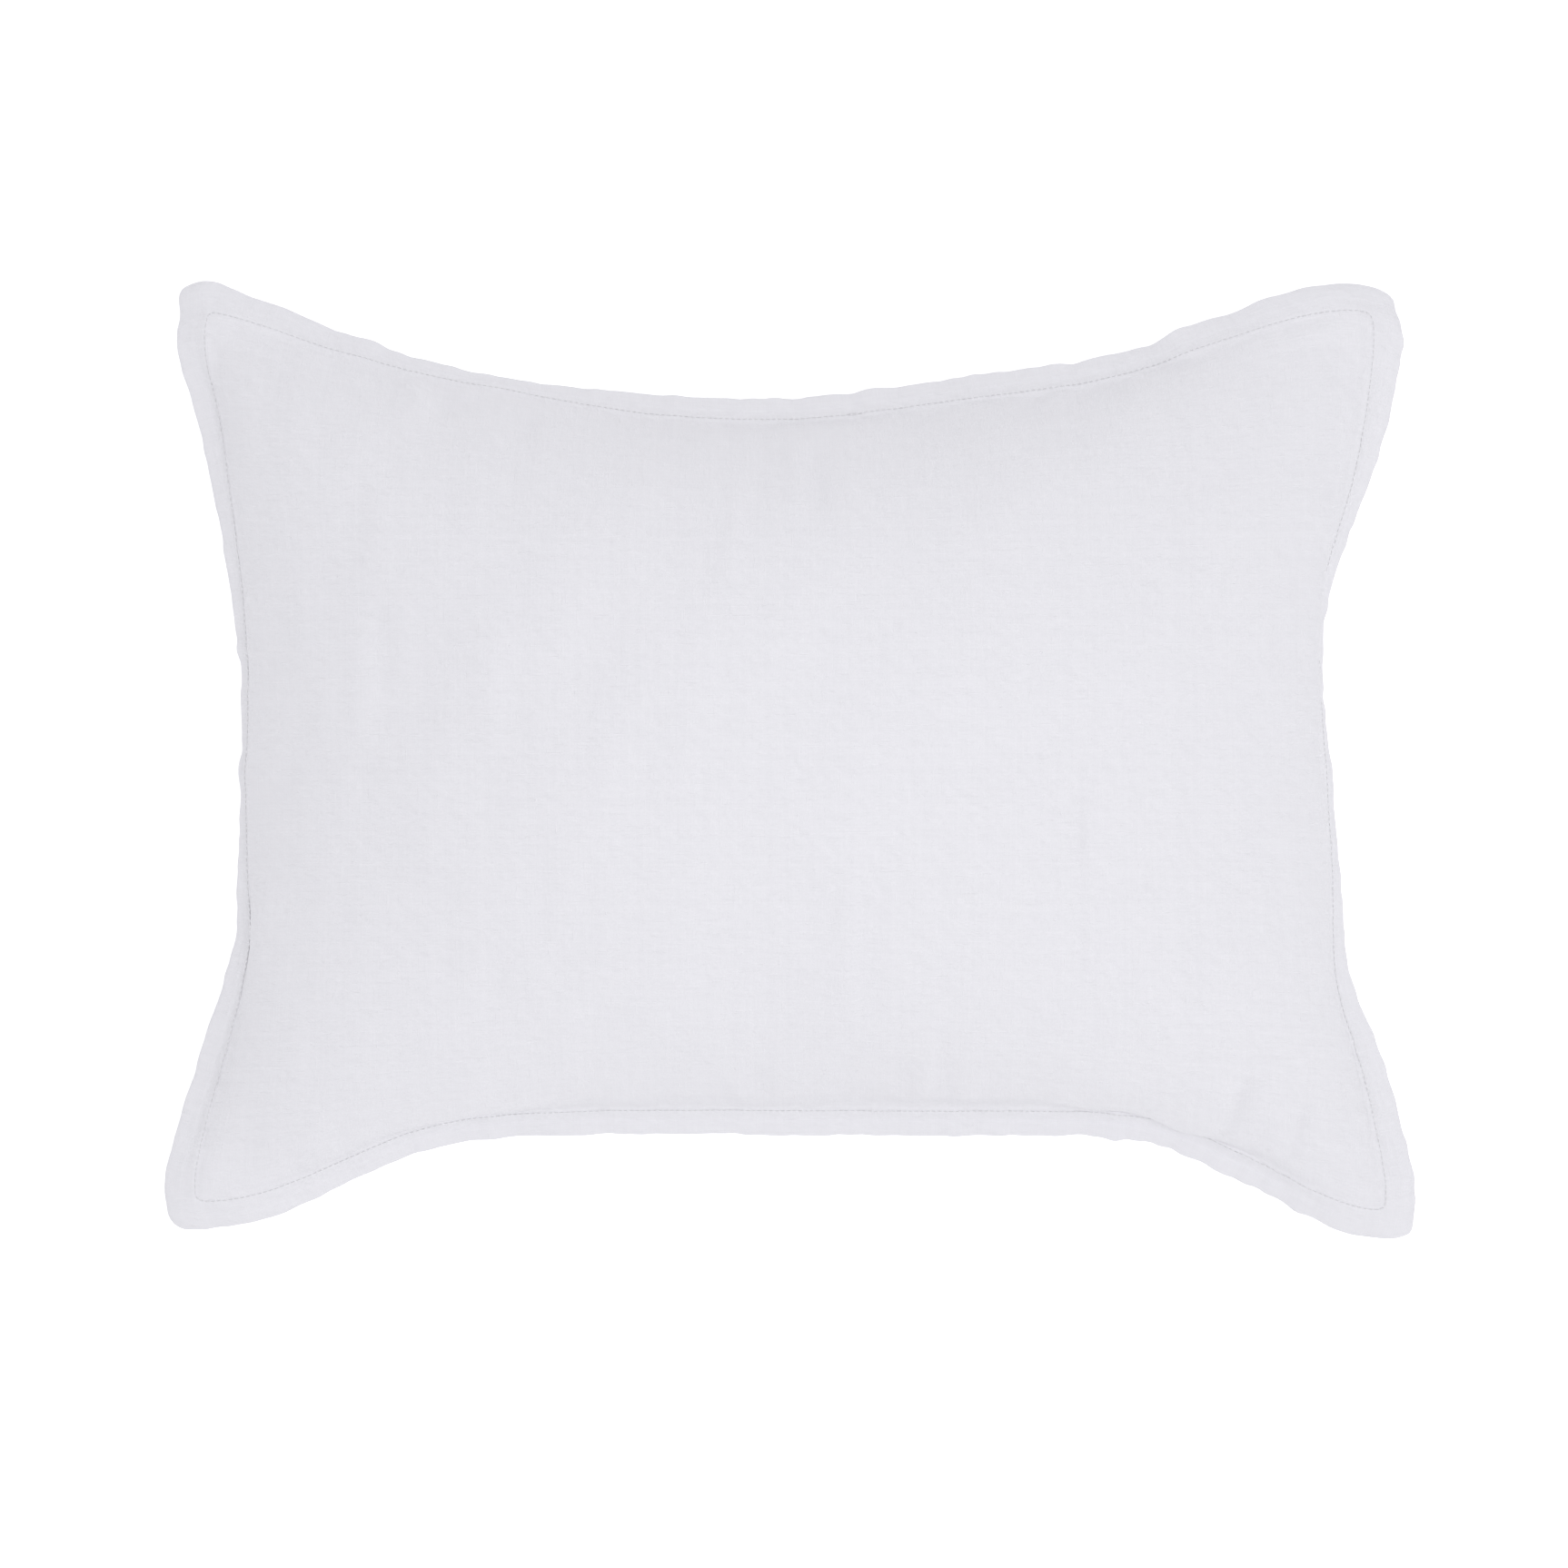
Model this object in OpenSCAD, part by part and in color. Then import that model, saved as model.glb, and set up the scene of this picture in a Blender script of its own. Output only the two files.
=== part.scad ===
// Bed pillow: a stuffed insert inside a white flanged sham.
// Millimetres. +X runs along the pillow, +Y to its far long edge, +Z is its thickness.
// The origin is under the middle of the pillow, on the surface that it lies on.

/* [Outline] */
// Length over the flange, tip to tip
pillow_length = 648; // [600:1:700]
// Width over the flange, tip to tip
pillow_width = 495; // [460:1:540]
// Width of the flange, from its stitch line to its edge
flange_width = 17; // [12:1:22]

/* [Loft] */
// Height of the crown above the surface
crown_height = 216; // [185:1:225]
// Height of the stitch line in the middle of each edge
seam_height = 98; // [88:1:108]
// Drop of the stitch line at the four corners
corner_drop = 6; // [0:1:15]
// Sag of the underside below the stitch line, before the surface flattens it
belly_depth = 128; // [122:1:140]
// Flatness of the crown: higher is squarer
crown_power = 2.2; // [2:0.1:2.8]
// Bluntness of the edges: lower is blunter
edge_power = 0.6; // [0.5:0.05:0.8]

/* [Cloth] */
// Thickness of the sham's cloth
cloth = 0.6; // [0.4:0.05:0.8]
// Distance from the sham's stitch line to the insert's seam
insert_gap = 10; // [8:1:16]
// Thickness of the insert's ticking
ticking = 0.5; // [0.4:0.05:0.6]
// Radius of the cord in the insert's piped edge
piping_radius = 2; // [1.5:0.1:2.5]
// Radius of the sewing thread
thread_radius = 0.25; // [0.2:0.05:0.3]

/* [Back opening] */
// How far the two back panels overlap
overlap = 100; // [80:5:120]
// Width of the hem along each panel's free edge
hem_width = 22; // [15:1:30]

/* [Hidden] */

cloth_white = [0.91, 0.90, 0.925];
thread_white = [0.95, 0.95, 0.96];
ticking_white = [0.94, 0.94, 0.93];
fibre_white = [0.97, 0.97, 0.97];
label_white = [0.93, 0.93, 0.91];

// The flange's outer edge on a pillow 648 long and 495 wide, corner to corner.
// Long edges give y at x, short edges give x at y.
FAR_EDGE = [
    [-314, 243], [-303, 248], [-283, 242], [-231, 221.5], [-168, 202], [-92, 192],
    [-5, 188.5], [80, 198], [165, 210], [221, 229.5], [262, 243], [288, 246], [309, 240]
];
NEAR_EDGE = [
    [-319, -240], [-298, -241.5], [-268, -235], [-203, -206], [-170, -197], [-110, -193.5],
    [60, -194], [168, -195], [195, -200.5], [232, -216], [276, -239], [299, -246.5], [320, -243]
];
LEFT_EDGE = [
    [-240, -319], [-222, -324], [-198, -319.5], [-140, -302], [-95, -288], [-60, -286.5],
    [20, -284], [75, -288], [130, -297], [182, -308], [212, -317], [243, -314]
];
RIGHT_EDGE = [
    [-243, 320], [-226, 324], [-197, 318], [-155, 306], [-115, 291], [-60, 285],
    [0, 279.5], [60, 275.5], [95, 281], [143, 299], [190, 312], [222, 316], [240, 309]
];
DRAWN_LENGTH = 648;
DRAWN_WIDTH = 495;
scale_x = pillow_length / DRAWN_LENGTH;
scale_y = pillow_width / DRAWN_WIDTH;

crown_rise = crown_height - seam_height - cloth / 2;
flange_half_gap = cloth / 2 + 0.2;    // from the flange's middle to the middle of each layer
panel_step = 2 * cloth;               // how far the outer back panel stands off the inner one
clear = 0.3;                          // free space kept between neighbouring layers
clamp_soft = 8;                       // height over which the underside blends to the flat
slope_step = 0.01;                    // step for finding a surface's slope
down = [0, 0, -1];

cells_x = 28;                         // cells across the sham's pocket, along X
cells_y = 20;                         // cells across the sham's pocket, along Y
insert_cells_x = 24;
insert_cells_y = 18;
edge_param = 2;                       // grid value of the flange's outer edge; its seam is 1
even_share = 0.35;                    // share of even spacing in the grid, which is closer at its ends
thread_sides = 4;
piping_sides = 6;
fine_thread = 0.6 * thread_radius;    // radius of the hems' and the insert's thread
stitch_offset = 1.5;                  // from the foot of the pocket's wall out to the flange's stitches

// ---- outline ----

function segment(at, list, i = 0) =
    (i >= len(list) - 2 || at < list[i + 1][0]) ? i : segment(at, list, i + 1);

function tangent(list, i) =
    let (a = list[max(i - 1, 0)], b = list[min(i + 1, len(list) - 1)])
    (b[1] - a[1]) / (b[0] - a[0]);

// Smooth curve through a list of [at, value] points
function curve(at, list) =
    let (
        i = segment(at, list),
        p = list[i],
        q = list[i + 1],
        h = q[0] - p[0],
        t = (at - p[0]) / h
    )
    p[1] * (2 * pow(t, 3) - 3 * t * t + 1) + q[1] * (3 * t * t - 2 * pow(t, 3))
    + h * tangent(list, i) * (pow(t, 3) - 2 * t * t + t)
    + h * tangent(list, i + 1) * (pow(t, 3) - t * t);

function mix(a, b, t) = a + (b - a) * t;
function first(list) = list[0];
function last(list) = list[len(list) - 1];

// A point on a long or short edge; t runs from -1 to 1
function long_edge(list, t) =
    let (x = mix(first(list)[0], last(list)[0], (t + 1) / 2))
    [x * scale_x, curve(x, list) * scale_y];
function short_edge(list, t) =
    let (y = mix(first(list)[0], last(list)[0], (t + 1) / 2))
    [curve(y, list) * scale_x, y * scale_y];

// Plan position inside the outline; u and v run from -1 to 1
function plan(u, v) =
    let (s = (u + 1) / 2, t = (v + 1) / 2)
    mix(long_edge(NEAR_EDGE, u), long_edge(FAR_EDGE, u), t)
    + mix(short_edge(LEFT_EDGE, v), short_edge(RIGHT_EDGE, v), s)
    - mix(
        mix(long_edge(NEAR_EDGE, -1), long_edge(NEAR_EDGE, 1), s),
        mix(long_edge(FAR_EDGE, -1), long_edge(FAR_EDGE, 1), s),
        t
    );

function half_length(v) = (short_edge(RIGHT_EDGE, v)[0] - short_edge(LEFT_EDGE, v)[0]) / 2;
function half_width(u) = (long_edge(FAR_EDGE, u)[1] - long_edge(NEAR_EDGE, u)[1]) / 2;
function within(t) = min(max(t, -1), 1);

// From pocket coordinates (seam at 1, flange edge at 2) to the outline's own
function stretch_to(t, inset) =
    abs(t) <= 1 ? t * (1 - inset) : sign(t) * (1 - inset * (edge_param - abs(t)));
function sham_plan(a, b, gap = 0) =
    plan(
        stretch_to(a, (flange_width + gap) / half_length(within(b))),
        stretch_to(b, (flange_width + gap) / half_width(within(a)))
    );

// ---- loft ----

function seam_z(a, b) = seam_height - corner_drop * pow(abs(within(a) * within(b)), 4);
function dome(a, b) =
    pow(
        (1 - pow(abs(within(a)), crown_power)) * (1 - pow(abs(within(b)), crown_power)),
        edge_power
    );

// Top and underside of a pocket whose seam lies inside the sham's stitch line by gap
function top_at(a, b, gap = 0) =
    let (p = sham_plan(a, b, gap))
    [p[0], p[1], seam_z(a, b) + crown_rise * dome(a, b)];
function belly_at(a, b, gap = 0) =
    let (p = sham_plan(a, b, gap))
    [p[0], p[1], seam_z(a, b) - belly_depth * dome(a, b)];

function unit(v) = v / norm(v);
function lift(skin, a, b, offset) =
    skin(a, b) + offset * unit(cross(
        skin(a + slope_step, b) - skin(a - slope_step, b),
        skin(a, b + slope_step) - skin(a, b - slope_step)
    ));

// Flattens the underside against a level, with a soft start
function rest_on(p, level) =
    let (d = p[2] - level)
    [p[0], p[1], level + (d > clamp_soft ? d : d < -clamp_soft ? 0
        : pow(d + clamp_soft, 2) / (4 * clamp_soft))];

// ---- solids ----

function spread(n) =
    [for (i = [-n : 2 : n]) even_share * i / n + (1 - even_share) * sin(90 * i / n)];

// A closed sheet between two skins, on the grid of the values in cols and rows
module sheet(cols, rows, upper, lower) {
    n = len(cols);
    m = len(rows);
    top = [for (b = rows) for (a = cols) upper(a, b)];
    bottom = [for (b = rows) for (a = cols) lower(a, b)];
    k = n * m;
    rim = concat(
        [for (i = [0 : n - 1]) i],
        [for (j = [1 : m - 1]) j * n + n - 1],
        [for (i = [n - 2 : -1 : 0]) (m - 1) * n + i],
        [for (j = [m - 2 : -1 : 1]) j * n]
    );
    r = len(rim);
    cells = [for (j = [0 : m - 2]) for (i = [0 : n - 2]) j * n + i];
    polyhedron(
        points = concat(top, bottom),
        faces = concat(
            [for (c = cells) [c, c + n + 1, c + 1]],
            [for (c = cells) [c, c + n, c + n + 1]],
            [for (c = cells) [k + c, k + c + 1, k + c + n + 1]],
            [for (c = cells) [k + c, k + c + n + 1, k + c + n]],
            [for (i = [0 : r - 1]) [rim[i], rim[(i + 1) % r], k + rim[(i + 1) % r]]],
            [for (i = [0 : r - 1]) [rim[i], k + rim[(i + 1) % r], k + rim[i]]]
        )
    );
}

// A tube of thread or cord along a path of points
module strand(path, radius, sides, closed) {
    n = len(path);
    function ring(i) =
        let (
            before = path[closed ? (i + n - 1) % n : max(i - 1, 0)],
            after = path[closed ? (i + 1) % n : min(i + 1, n - 1)],
            side = unit(cross(after - before, down)),
            up = unit(cross(side, after - before))
        )
        [for (s = [0 : sides - 1])
            path[i] + radius * (cos(360 * (s + 0.5) / sides) * side
                + sin(360 * (s + 0.5) / sides) * up)];
    function wall(i, j) = [for (s = [0 : sides - 1])
        each [
            [i * sides + s, j * sides + s, j * sides + (s + 1) % sides],
            [i * sides + s, j * sides + (s + 1) % sides, i * sides + (s + 1) % sides]
        ]];
    walls = [for (i = [0 : n - (closed ? 1 : 2)]) each wall(i, (i + 1) % n)];
    ends = closed ? [] : [
        [for (s = [0 : sides - 1]) s],
        [for (s = [sides - 1 : -1 : 0]) (n - 1) * sides + s]
    ];
    polyhedron(points = [for (i = [0 : n - 1]) each ring(i)], faces = concat(walls, ends));
}

// Grid values once round a seam: edge is where it runs, 1 on the stitch line
function around(edge) =
    concat(
        [for (i = [0 : cells_x - 1]) [mix(-edge, edge, i / cells_x), -edge]],
        [for (i = [0 : cells_y - 1]) [edge, mix(-edge, edge, i / cells_y)]],
        [for (i = [0 : cells_x - 1]) [mix(edge, -edge, i / cells_x), edge]],
        [for (i = [0 : cells_y - 1]) [-edge, mix(edge, -edge, i / cells_y)]]
    );

pocket_cols = spread(cells_x);
pocket_rows = spread(cells_y);
sham_cols = concat([-edge_param], pocket_cols, [edge_param]);
sham_rows = concat([-edge_param], pocket_rows, [edge_param]);

// Grid values of the two panels' free edges, either side of the middle
middle_half = half_length(0) - flange_width;
flap_end = overlap / 2 / middle_half;
hem_span = hem_width / middle_half;
overlap_blend = 0.12;                 // grid distance over which the panels step apart
end_margin = 0.01;                    // keeps a grid value from lying on a panel's free edge

function in_range(list, low, high) = [for (a = list) if (a > low && a < high) a];
flap_cols = concat(
    [-edge_param],
    in_range(pocket_cols, -1 - end_margin, flap_end - end_margin),
    [flap_end]
);
under_cols = concat(
    [-flap_end],
    in_range(pocket_cols, end_margin - flap_end, 1 + end_margin),
    [edge_param]
);
function step01(t) = let (s = min(max(t, 0), 1)) s * s * (3 - 2 * s);

// 1 where the two back panels overlap, 0 well clear of it
function flap_lift(a) = step01((a + flap_end + overlap_blend) / overlap_blend);
function under_lift(a) = step01((flap_end + overlap_blend - a) / overlap_blend);

function flange_shift(a, b) = max(abs(a), abs(b)) >= 1 ? flange_half_gap : 0;

function front_skin(a, b, offset) =
    lift(function (a, b) top_at(a, b), a, b, offset) + [0, 0, flange_shift(a, b)];
function back_skin(a, b, offset, level) =
    rest_on(
        lift(function (a, b) belly_at(a, b), a, b, -offset) - [0, 0, flange_shift(a, b)],
        level
    );
function flap_skin(a, b, offset, level) =
    back_skin(a, b, offset + panel_step * flap_lift(a), level);
function under_skin(a, b, offset, level) =
    back_skin(a, b, offset, level + panel_step * under_lift(a));

// ---- the sham ----

module sham_front() {
    color(cloth_white)
    sheet(
        sham_cols, sham_rows,
        function (a, b) front_skin(a, b, cloth / 2),
        function (a, b) front_skin(a, b, -cloth / 2)
    );
}

module sham_back_flap() {
    color(cloth_white)
    sheet(
        flap_cols, sham_rows,
        function (a, b) flap_skin(a, b, -cloth / 2, cloth),
        function (a, b) flap_skin(a, b, cloth / 2, 0)
    );
}

module sham_back_under() {
    color(cloth_white)
    sheet(
        under_cols, sham_rows,
        function (a, b) under_skin(a, b, -cloth / 2, cloth),
        function (a, b) under_skin(a, b, cloth / 2, 0)
    );
}

// Stitches through the flange: needle thread above, bobbin thread below
stitch_edge = 1 + stitch_offset / flange_width;
stitch_rise = flange_half_gap + cloth / 2 + thread_radius + clear / 3;

function flange_point(p, rise) =
    let (q = sham_plan(p[0], p[1]))
    [q[0], q[1], seam_z(p[0], p[1]) + rise];

module flange_topstitch() {
    color(thread_white)
    strand([for (p = around(stitch_edge)) flange_point(p, stitch_rise)], thread_radius, thread_sides, true);
}

module flange_bobbin_stitch() {
    color(thread_white)
    strand(
        [for (p = around(stitch_edge))
            flange_point(p, -stitch_rise - panel_step * flap_lift(p[0]) * under_lift(p[0]))],
        thread_radius, thread_sides, true
    );
}

// The seam that joins front and back, turned inside along the flange's edge
edge_seam_offset = 1;
module edge_seam_stitch() {
    color(thread_white)
    strand(
        [for (p = around(edge_param - edge_seam_offset / flange_width)) flange_point(p, 0)],
        thread_radius / 2, thread_sides, true
    );
}

hem_rise = cloth / 2 + fine_thread + clear / 3;
hem_reach = 0.99;                     // how far along the hem its stitching runs, of 1
hem_points = 20;
function across(a, point) =
    [for (i = [0 : hem_points]) point(a, hem_reach * mix(-1, 1, i / hem_points))];

// Hem stitching, on the faces of the two back panels that lie against each other
module flap_hem_stitch() {
    color(thread_white)
    strand(
        across(flap_end - hem_span, function (a, b) flap_skin(a, b, -hem_rise, cloth / 2 + hem_rise)),
        fine_thread, thread_sides, false
    );
}

module under_hem_stitch() {
    color(thread_white)
    strand(
        across(hem_span - flap_end, function (a, b) under_skin(a, b, hem_rise, cloth / 2 - hem_rise)),
        fine_thread, thread_sides, false
    );
}

// Dense bars that close each end of the opening, under the flange
bartack_length = 9;
bartack_width = 2;
bartack_thick = 0.5;
bartack_edge = 1.55;                  // grid value of its middle, on the flange
module opening_bartacks() {
    drop = flange_half_gap + cloth / 2 + panel_step + bartack_thick / 2 + clear / 3;
    color(thread_white)
    for (side = [-1, 1])
        translate(flange_point([flap_end - bartack_width / middle_half, side * bartack_edge], -drop))
        cube([bartack_width, bartack_length, bartack_thick], center = true);
}

// Care label, caught in the short seam inside the sham
care_label_cols = [-0.99, -0.97, -0.95, -0.93];
care_label_rows = [-0.42, -0.36, -0.3, -0.24];
module care_label() {
    inner = cloth / 2 + clear;
    color(label_white)
    sheet(
        care_label_cols, care_label_rows,
        function (a, b) back_skin(a, b, -inner - clear, 0),
        function (a, b) back_skin(a, b, -inner, 0)
    );
}

// ---- the insert ----

insert_cols = spread(insert_cells_x);
insert_rows = spread(insert_cells_y);
insert_drop = 1.6;                    // how far the insert's crown lies below the sham's
insert_rim = 0.75;                    // half the height of the ticking at its seam
least_rim = 0.1;
insert_level = cloth + panel_step + 2 * clear;
fill_depth = ticking + 8 * clear;     // depth of the fill inside the outside of the ticking

// Upper and lower skins of the insert, depth inside the outside of its ticking
function insert_top(a, b, depth) =
    let (
        p = sham_plan(a, b, insert_gap + depth),
        rim = max(insert_rim - depth, least_rim)
    )
    [p[0], p[1], seam_z(a, b) + rim + (crown_rise - insert_drop - depth - rim) * dome(a, b)];
function insert_bottom(a, b, depth) =
    let (
        p = sham_plan(a, b, insert_gap + depth),
        rim = max(insert_rim - depth, least_rim),
        z = seam_z(a, b) - rim - (belly_depth - insert_drop - depth - rim) * dome(a, b)
    )
    rest_on([p[0], p[1], z], insert_level + depth);
function insert_ring(gap) =
    [for (p = around(1)) let (q = sham_plan(p[0], p[1], gap)) [q[0], q[1], seam_z(p[0], p[1])]];

module ticking_top() {
    color(ticking_white)
    sheet(
        insert_cols, insert_rows,
        function (a, b) insert_top(a, b, 0),
        function (a, b) insert_top(a, b, ticking)
    );
}

module ticking_bottom() {
    color(ticking_white)
    sheet(
        insert_cols, insert_rows,
        function (a, b) insert_bottom(a, b, ticking),
        function (a, b) insert_bottom(a, b, 0)
    );
}

// Piped edge, sewn into the seam between the two sides of the ticking
module ticking_piping() {
    color(ticking_white)
    strand(insert_ring(insert_gap - piping_radius - clear), piping_radius, piping_sides, true);
}

module ticking_seam_stitch() {
    color(thread_white)
    strand(insert_ring(insert_gap + ticking / 2), fine_thread, thread_sides, true);
}

module fill() {
    color(fibre_white)
    sheet(
        insert_cols, insert_rows,
        function (a, b) insert_top(a, b, fill_depth),
        function (a, b) insert_bottom(a, b, fill_depth)
    );
}

// Label on the insert, caught in its short seam and lying on its underside
insert_label_cols = [0.9, 0.93, 0.96, 0.99];
insert_label_rows = [0.3, 0.37, 0.44];
module insert_label() {
    color(label_white)
    sheet(
        insert_label_cols, insert_label_rows,
        function (a, b) insert_bottom(a, b, -clear),
        function (a, b) insert_bottom(a, b, -2 * clear)
    );
}

sham_front();
sham_back_flap();
sham_back_under();
flange_topstitch();
flange_bobbin_stitch();
edge_seam_stitch();
flap_hem_stitch();
under_hem_stitch();
opening_bartacks();
care_label();
ticking_top();
ticking_bottom();
ticking_piping();
ticking_seam_stitch();
fill();
insert_label();
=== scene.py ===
"""A plump white bed pillow in a flanged sham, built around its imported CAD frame.

The sham's front and back are relaxed by a small cloth solver: flat panels, cut to size and joined on
the flange's stitch line, are filled, rest on the floor and are drawn to the frame's outline. Every
other piece, such as the insert, the labels and each row of stitches, is placed on that cloth.
Lengths are in metres.
"""
import math

import bpy
import numpy as np
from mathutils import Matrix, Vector


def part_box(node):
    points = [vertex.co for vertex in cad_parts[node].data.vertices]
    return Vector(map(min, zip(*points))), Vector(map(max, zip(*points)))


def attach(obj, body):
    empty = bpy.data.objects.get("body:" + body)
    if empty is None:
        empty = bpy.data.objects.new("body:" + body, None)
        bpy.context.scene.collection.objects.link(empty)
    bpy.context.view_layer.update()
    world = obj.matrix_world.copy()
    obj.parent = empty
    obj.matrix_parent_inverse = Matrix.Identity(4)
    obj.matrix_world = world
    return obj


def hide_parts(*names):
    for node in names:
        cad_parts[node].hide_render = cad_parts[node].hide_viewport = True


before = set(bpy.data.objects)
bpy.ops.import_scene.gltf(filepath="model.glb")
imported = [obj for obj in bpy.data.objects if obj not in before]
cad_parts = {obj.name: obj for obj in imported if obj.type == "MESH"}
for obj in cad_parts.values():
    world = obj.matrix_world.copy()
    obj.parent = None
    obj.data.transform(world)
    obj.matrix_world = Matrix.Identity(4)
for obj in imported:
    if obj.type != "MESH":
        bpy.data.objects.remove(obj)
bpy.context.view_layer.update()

# ---- sizes ----

PANEL_LENGTH, PANEL_WIDTH = 0.660, 0.508  # the sham's panels, cut and flat, flange included
CLOTH = 0.00045  # thickness of the sham's cloth
FLANGE_CELLS = 3  # cells of the middle level across the flange
CELLS_X, CELLS_Y = 108, 84  # cells of the middle level, across the panel
COARSE = 3  # each level is this much finer than the one before
FLANGE = FLANGE_CELLS * PANEL_LENGTH / CELLS_X
CORNER_DRAW = 0.005  # share by which the outline is drawn in at its corners
TAKEN_UP = (0.975, 0.93)  # share of each thread's length left after the gathers

seam_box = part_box("flange_topstitch")
front_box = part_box("sham_front")
CROWN = front_box[1][2]  # height of the crown in the frame


# ---- outline of the frame, seen from above ----

def step01(t):
    """A smooth step from 0 to 1."""
    t = np.clip(t, 0, 1)
    return t * t * (3 - 2 * t)


def rim_points(node):
    """The corners of a node's plan outline, in order round the origin."""
    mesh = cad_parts[node].data
    points = np.empty(len(mesh.vertices) * 3)
    mesh.vertices.foreach_get("co", points)
    points = points.reshape(-1, 3)[:, :2]
    ends = np.empty(len(mesh.edges) * 2, dtype=np.int64)
    mesh.edges.foreach_get("vertices", ends)
    a, b = points[ends.reshape(-1, 2).T]
    rim = {}
    for x, y in points[np.hypot(*points.T) > 0.15]:
        d = np.array([x, y]) / math.hypot(x, y)
        cross_a, cross_b = d[0] * a[:, 1] - d[1] * a[:, 0], d[0] * b[:, 1] - d[1] * b[:, 0]
        hit = cross_a * cross_b < 0
        share = (cross_a[hit] / (cross_a[hit] - cross_b[hit]))[:, None]
        reach = ((a[hit] + share * (b[hit] - a[hit])) @ d).max(initial=0)
        if reach < math.hypot(x, y) + 1e-5:
            rim[round(math.atan2(y, x), 3)] = (x, y)
    return np.array([rim[angle] for angle in sorted(rim)])


def smooth_loop(points, steps):
    """A smooth closed curve through the points."""
    after, before = np.roll(points, -1, axis=0), np.roll(points, 1, axis=0)
    run = np.linalg.norm(after - points, axis=1)[:, None]
    run_before = np.roll(run, 1, axis=0)
    slope = run_before * (after - points) / run + run * (points - before) / run_before
    slope /= run + run_before
    t = (np.arange(steps) / steps)[None, :, None]
    start, end, length = points[:, None], after[:, None], run[:, None]
    slope_start, slope_end = slope[:, None], np.roll(slope, -1, axis=0)[:, None]
    curve = (
        start * (1 - 3 * t ** 2 + 2 * t ** 3) + end * (3 * t ** 2 - 2 * t ** 3)
        + length * slope_start * (t - 2 * t ** 2 + t ** 3) + length * slope_end * (t ** 3 - t ** 2)
    )
    return curve.reshape(-1, 2)


def even_stretch(line, count):
    """A polyline resampled at even steps along its length."""
    run = np.concatenate([[0], np.cumsum(np.linalg.norm(np.diff(line, axis=0), axis=1))])
    at = np.linspace(0, run[-1], count)
    return np.stack([np.interp(at, run, line[:, k]) for k in range(2)], axis=1)


OUTLINE_STEPS = 16  # points of the smooth outline between two rim points
CORNER_LEAN = 1.35  # a corner is farthest out along (1, this) in plan


def frame_outline():
    """The outline as one closed loop, and the index of each of its four corners."""
    loop = smooth_loop(rim_points("sham_front"), OUTLINE_STEPS)
    near_corner = step01((np.hypot(*loop.T) - 0.34) / 0.05)
    loop *= 1 - CORNER_DRAW * near_corner[:, None]
    corners = {}
    for sx in (-1, 1):
        for sy in (-1, 1):
            corners[sx, sy] = int(np.argmax(loop @ (sx, CORNER_LEAN * sy)))
    return loop, corners


OUTLINE, CORNERS = frame_outline()


def outline_edge(start, end, count):
    """Even points along the outline from one corner to the next, the shorter way round."""
    n = len(OUTLINE)
    i, j = CORNERS[start], CORNERS[end]
    forward = (j - i) % n
    if forward <= n // 2:
        picked = (i + np.arange(forward + 1)) % n
    else:
        picked = (i - np.arange(n - forward + 1)) % n
    return even_stretch(OUTLINE[picked], count)


# ---- cloth solver ----

SOLVER = dict(
    tight=1.0,             # share of a stretched thread's error taken up in one pass
    slack=0.15,            # the same for a thread pushed shorter than its length
    shear=0.12,            # the same across the weave
    shear_push=0.5,        # that share again, for a diagonal pushed short
    bend=0.10,             # share of a bend taken up in one pass
    keep_speed=0.985,      # share of its speed that a point keeps
    step=2e-4,             # square of the time step, over the square of a cell
    fill_volume=0.0370,    # volume of the fill before the cloth presses it
    fill_stiffness=600.0,  # pressure for each share of the volume that is pressed out
    least_press=0.02,      # share of it that is left when the fill is slack
    fill_weight=150.0,     # how much the pressure falls with each metre of height
    fill_level=0.1,        # height at which the fill's own weight adds nothing
    cloth_weight=4.0,
    corner_empty=0.75,     # how much of the fill's push is missing in the corners
    layer_gap=0.002,       # least distance between front and back
    floor=0.001,
    grip=0.9,              # how much the floor holds the cloth against sliding
)


def pull(a, b, rest, tight, slack):
    """Moves paired points towards their rest distance."""
    d = b - a
    length = np.sqrt((d * d).sum(-1))
    error = length - rest
    move = d * (0.5 * np.where(error > 0, tight, slack) * error / length)[..., None]
    a += move
    b -= move


def flatten(a, b, c, share):
    """Takes up some of the bend in rows of three points."""
    move = share * (0.5 * (a + c) - b)
    b += move
    a -= 0.5 * move
    c -= 0.5 * move


def sweep(x, cell_x, cell_y):
    """One pass over all threads, diagonals and bends of a panel."""
    s = SOLVER
    cell_x, cell_y = cell_x * TAKEN_UP[0], cell_y * TAKEN_UP[1]
    for first in (0, 1):
        n = (x.shape[1] - first) // 2 * 2
        pull(x[:, first:first + n:2], x[:, first + 1:first + n + 1:2], cell_x, s["tight"], s["slack"])
        n = (x.shape[0] - first) // 2 * 2
        pull(x[first:first + n:2], x[first + 1:first + n + 1:2], cell_y, s["tight"], s["slack"])
    across = math.hypot(cell_x, cell_y)
    for first in (0, 1):
        n = (x.shape[0] - first) // 2 * 2
        a, b = x[first:first + n:2], x[first + 1:first + n + 1:2]
        pull(a[:, :-1], b[:, 1:], across, s["shear"], s["shear"] * s["shear_push"])
        pull(a[:, 1:], b[:, :-1], across, s["shear"], s["shear"] * s["shear_push"])
    for first in (0, 1, 2):
        n = (x.shape[1] - first) // 3 * 3
        flatten(*(x[:, first + i:first + n:3] for i in range(3)), s["bend"])
        n = (x.shape[0] - first) // 3 * 3
        flatten(*(x[first + i:first + n:3] for i in range(3)), s["bend"])


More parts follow.
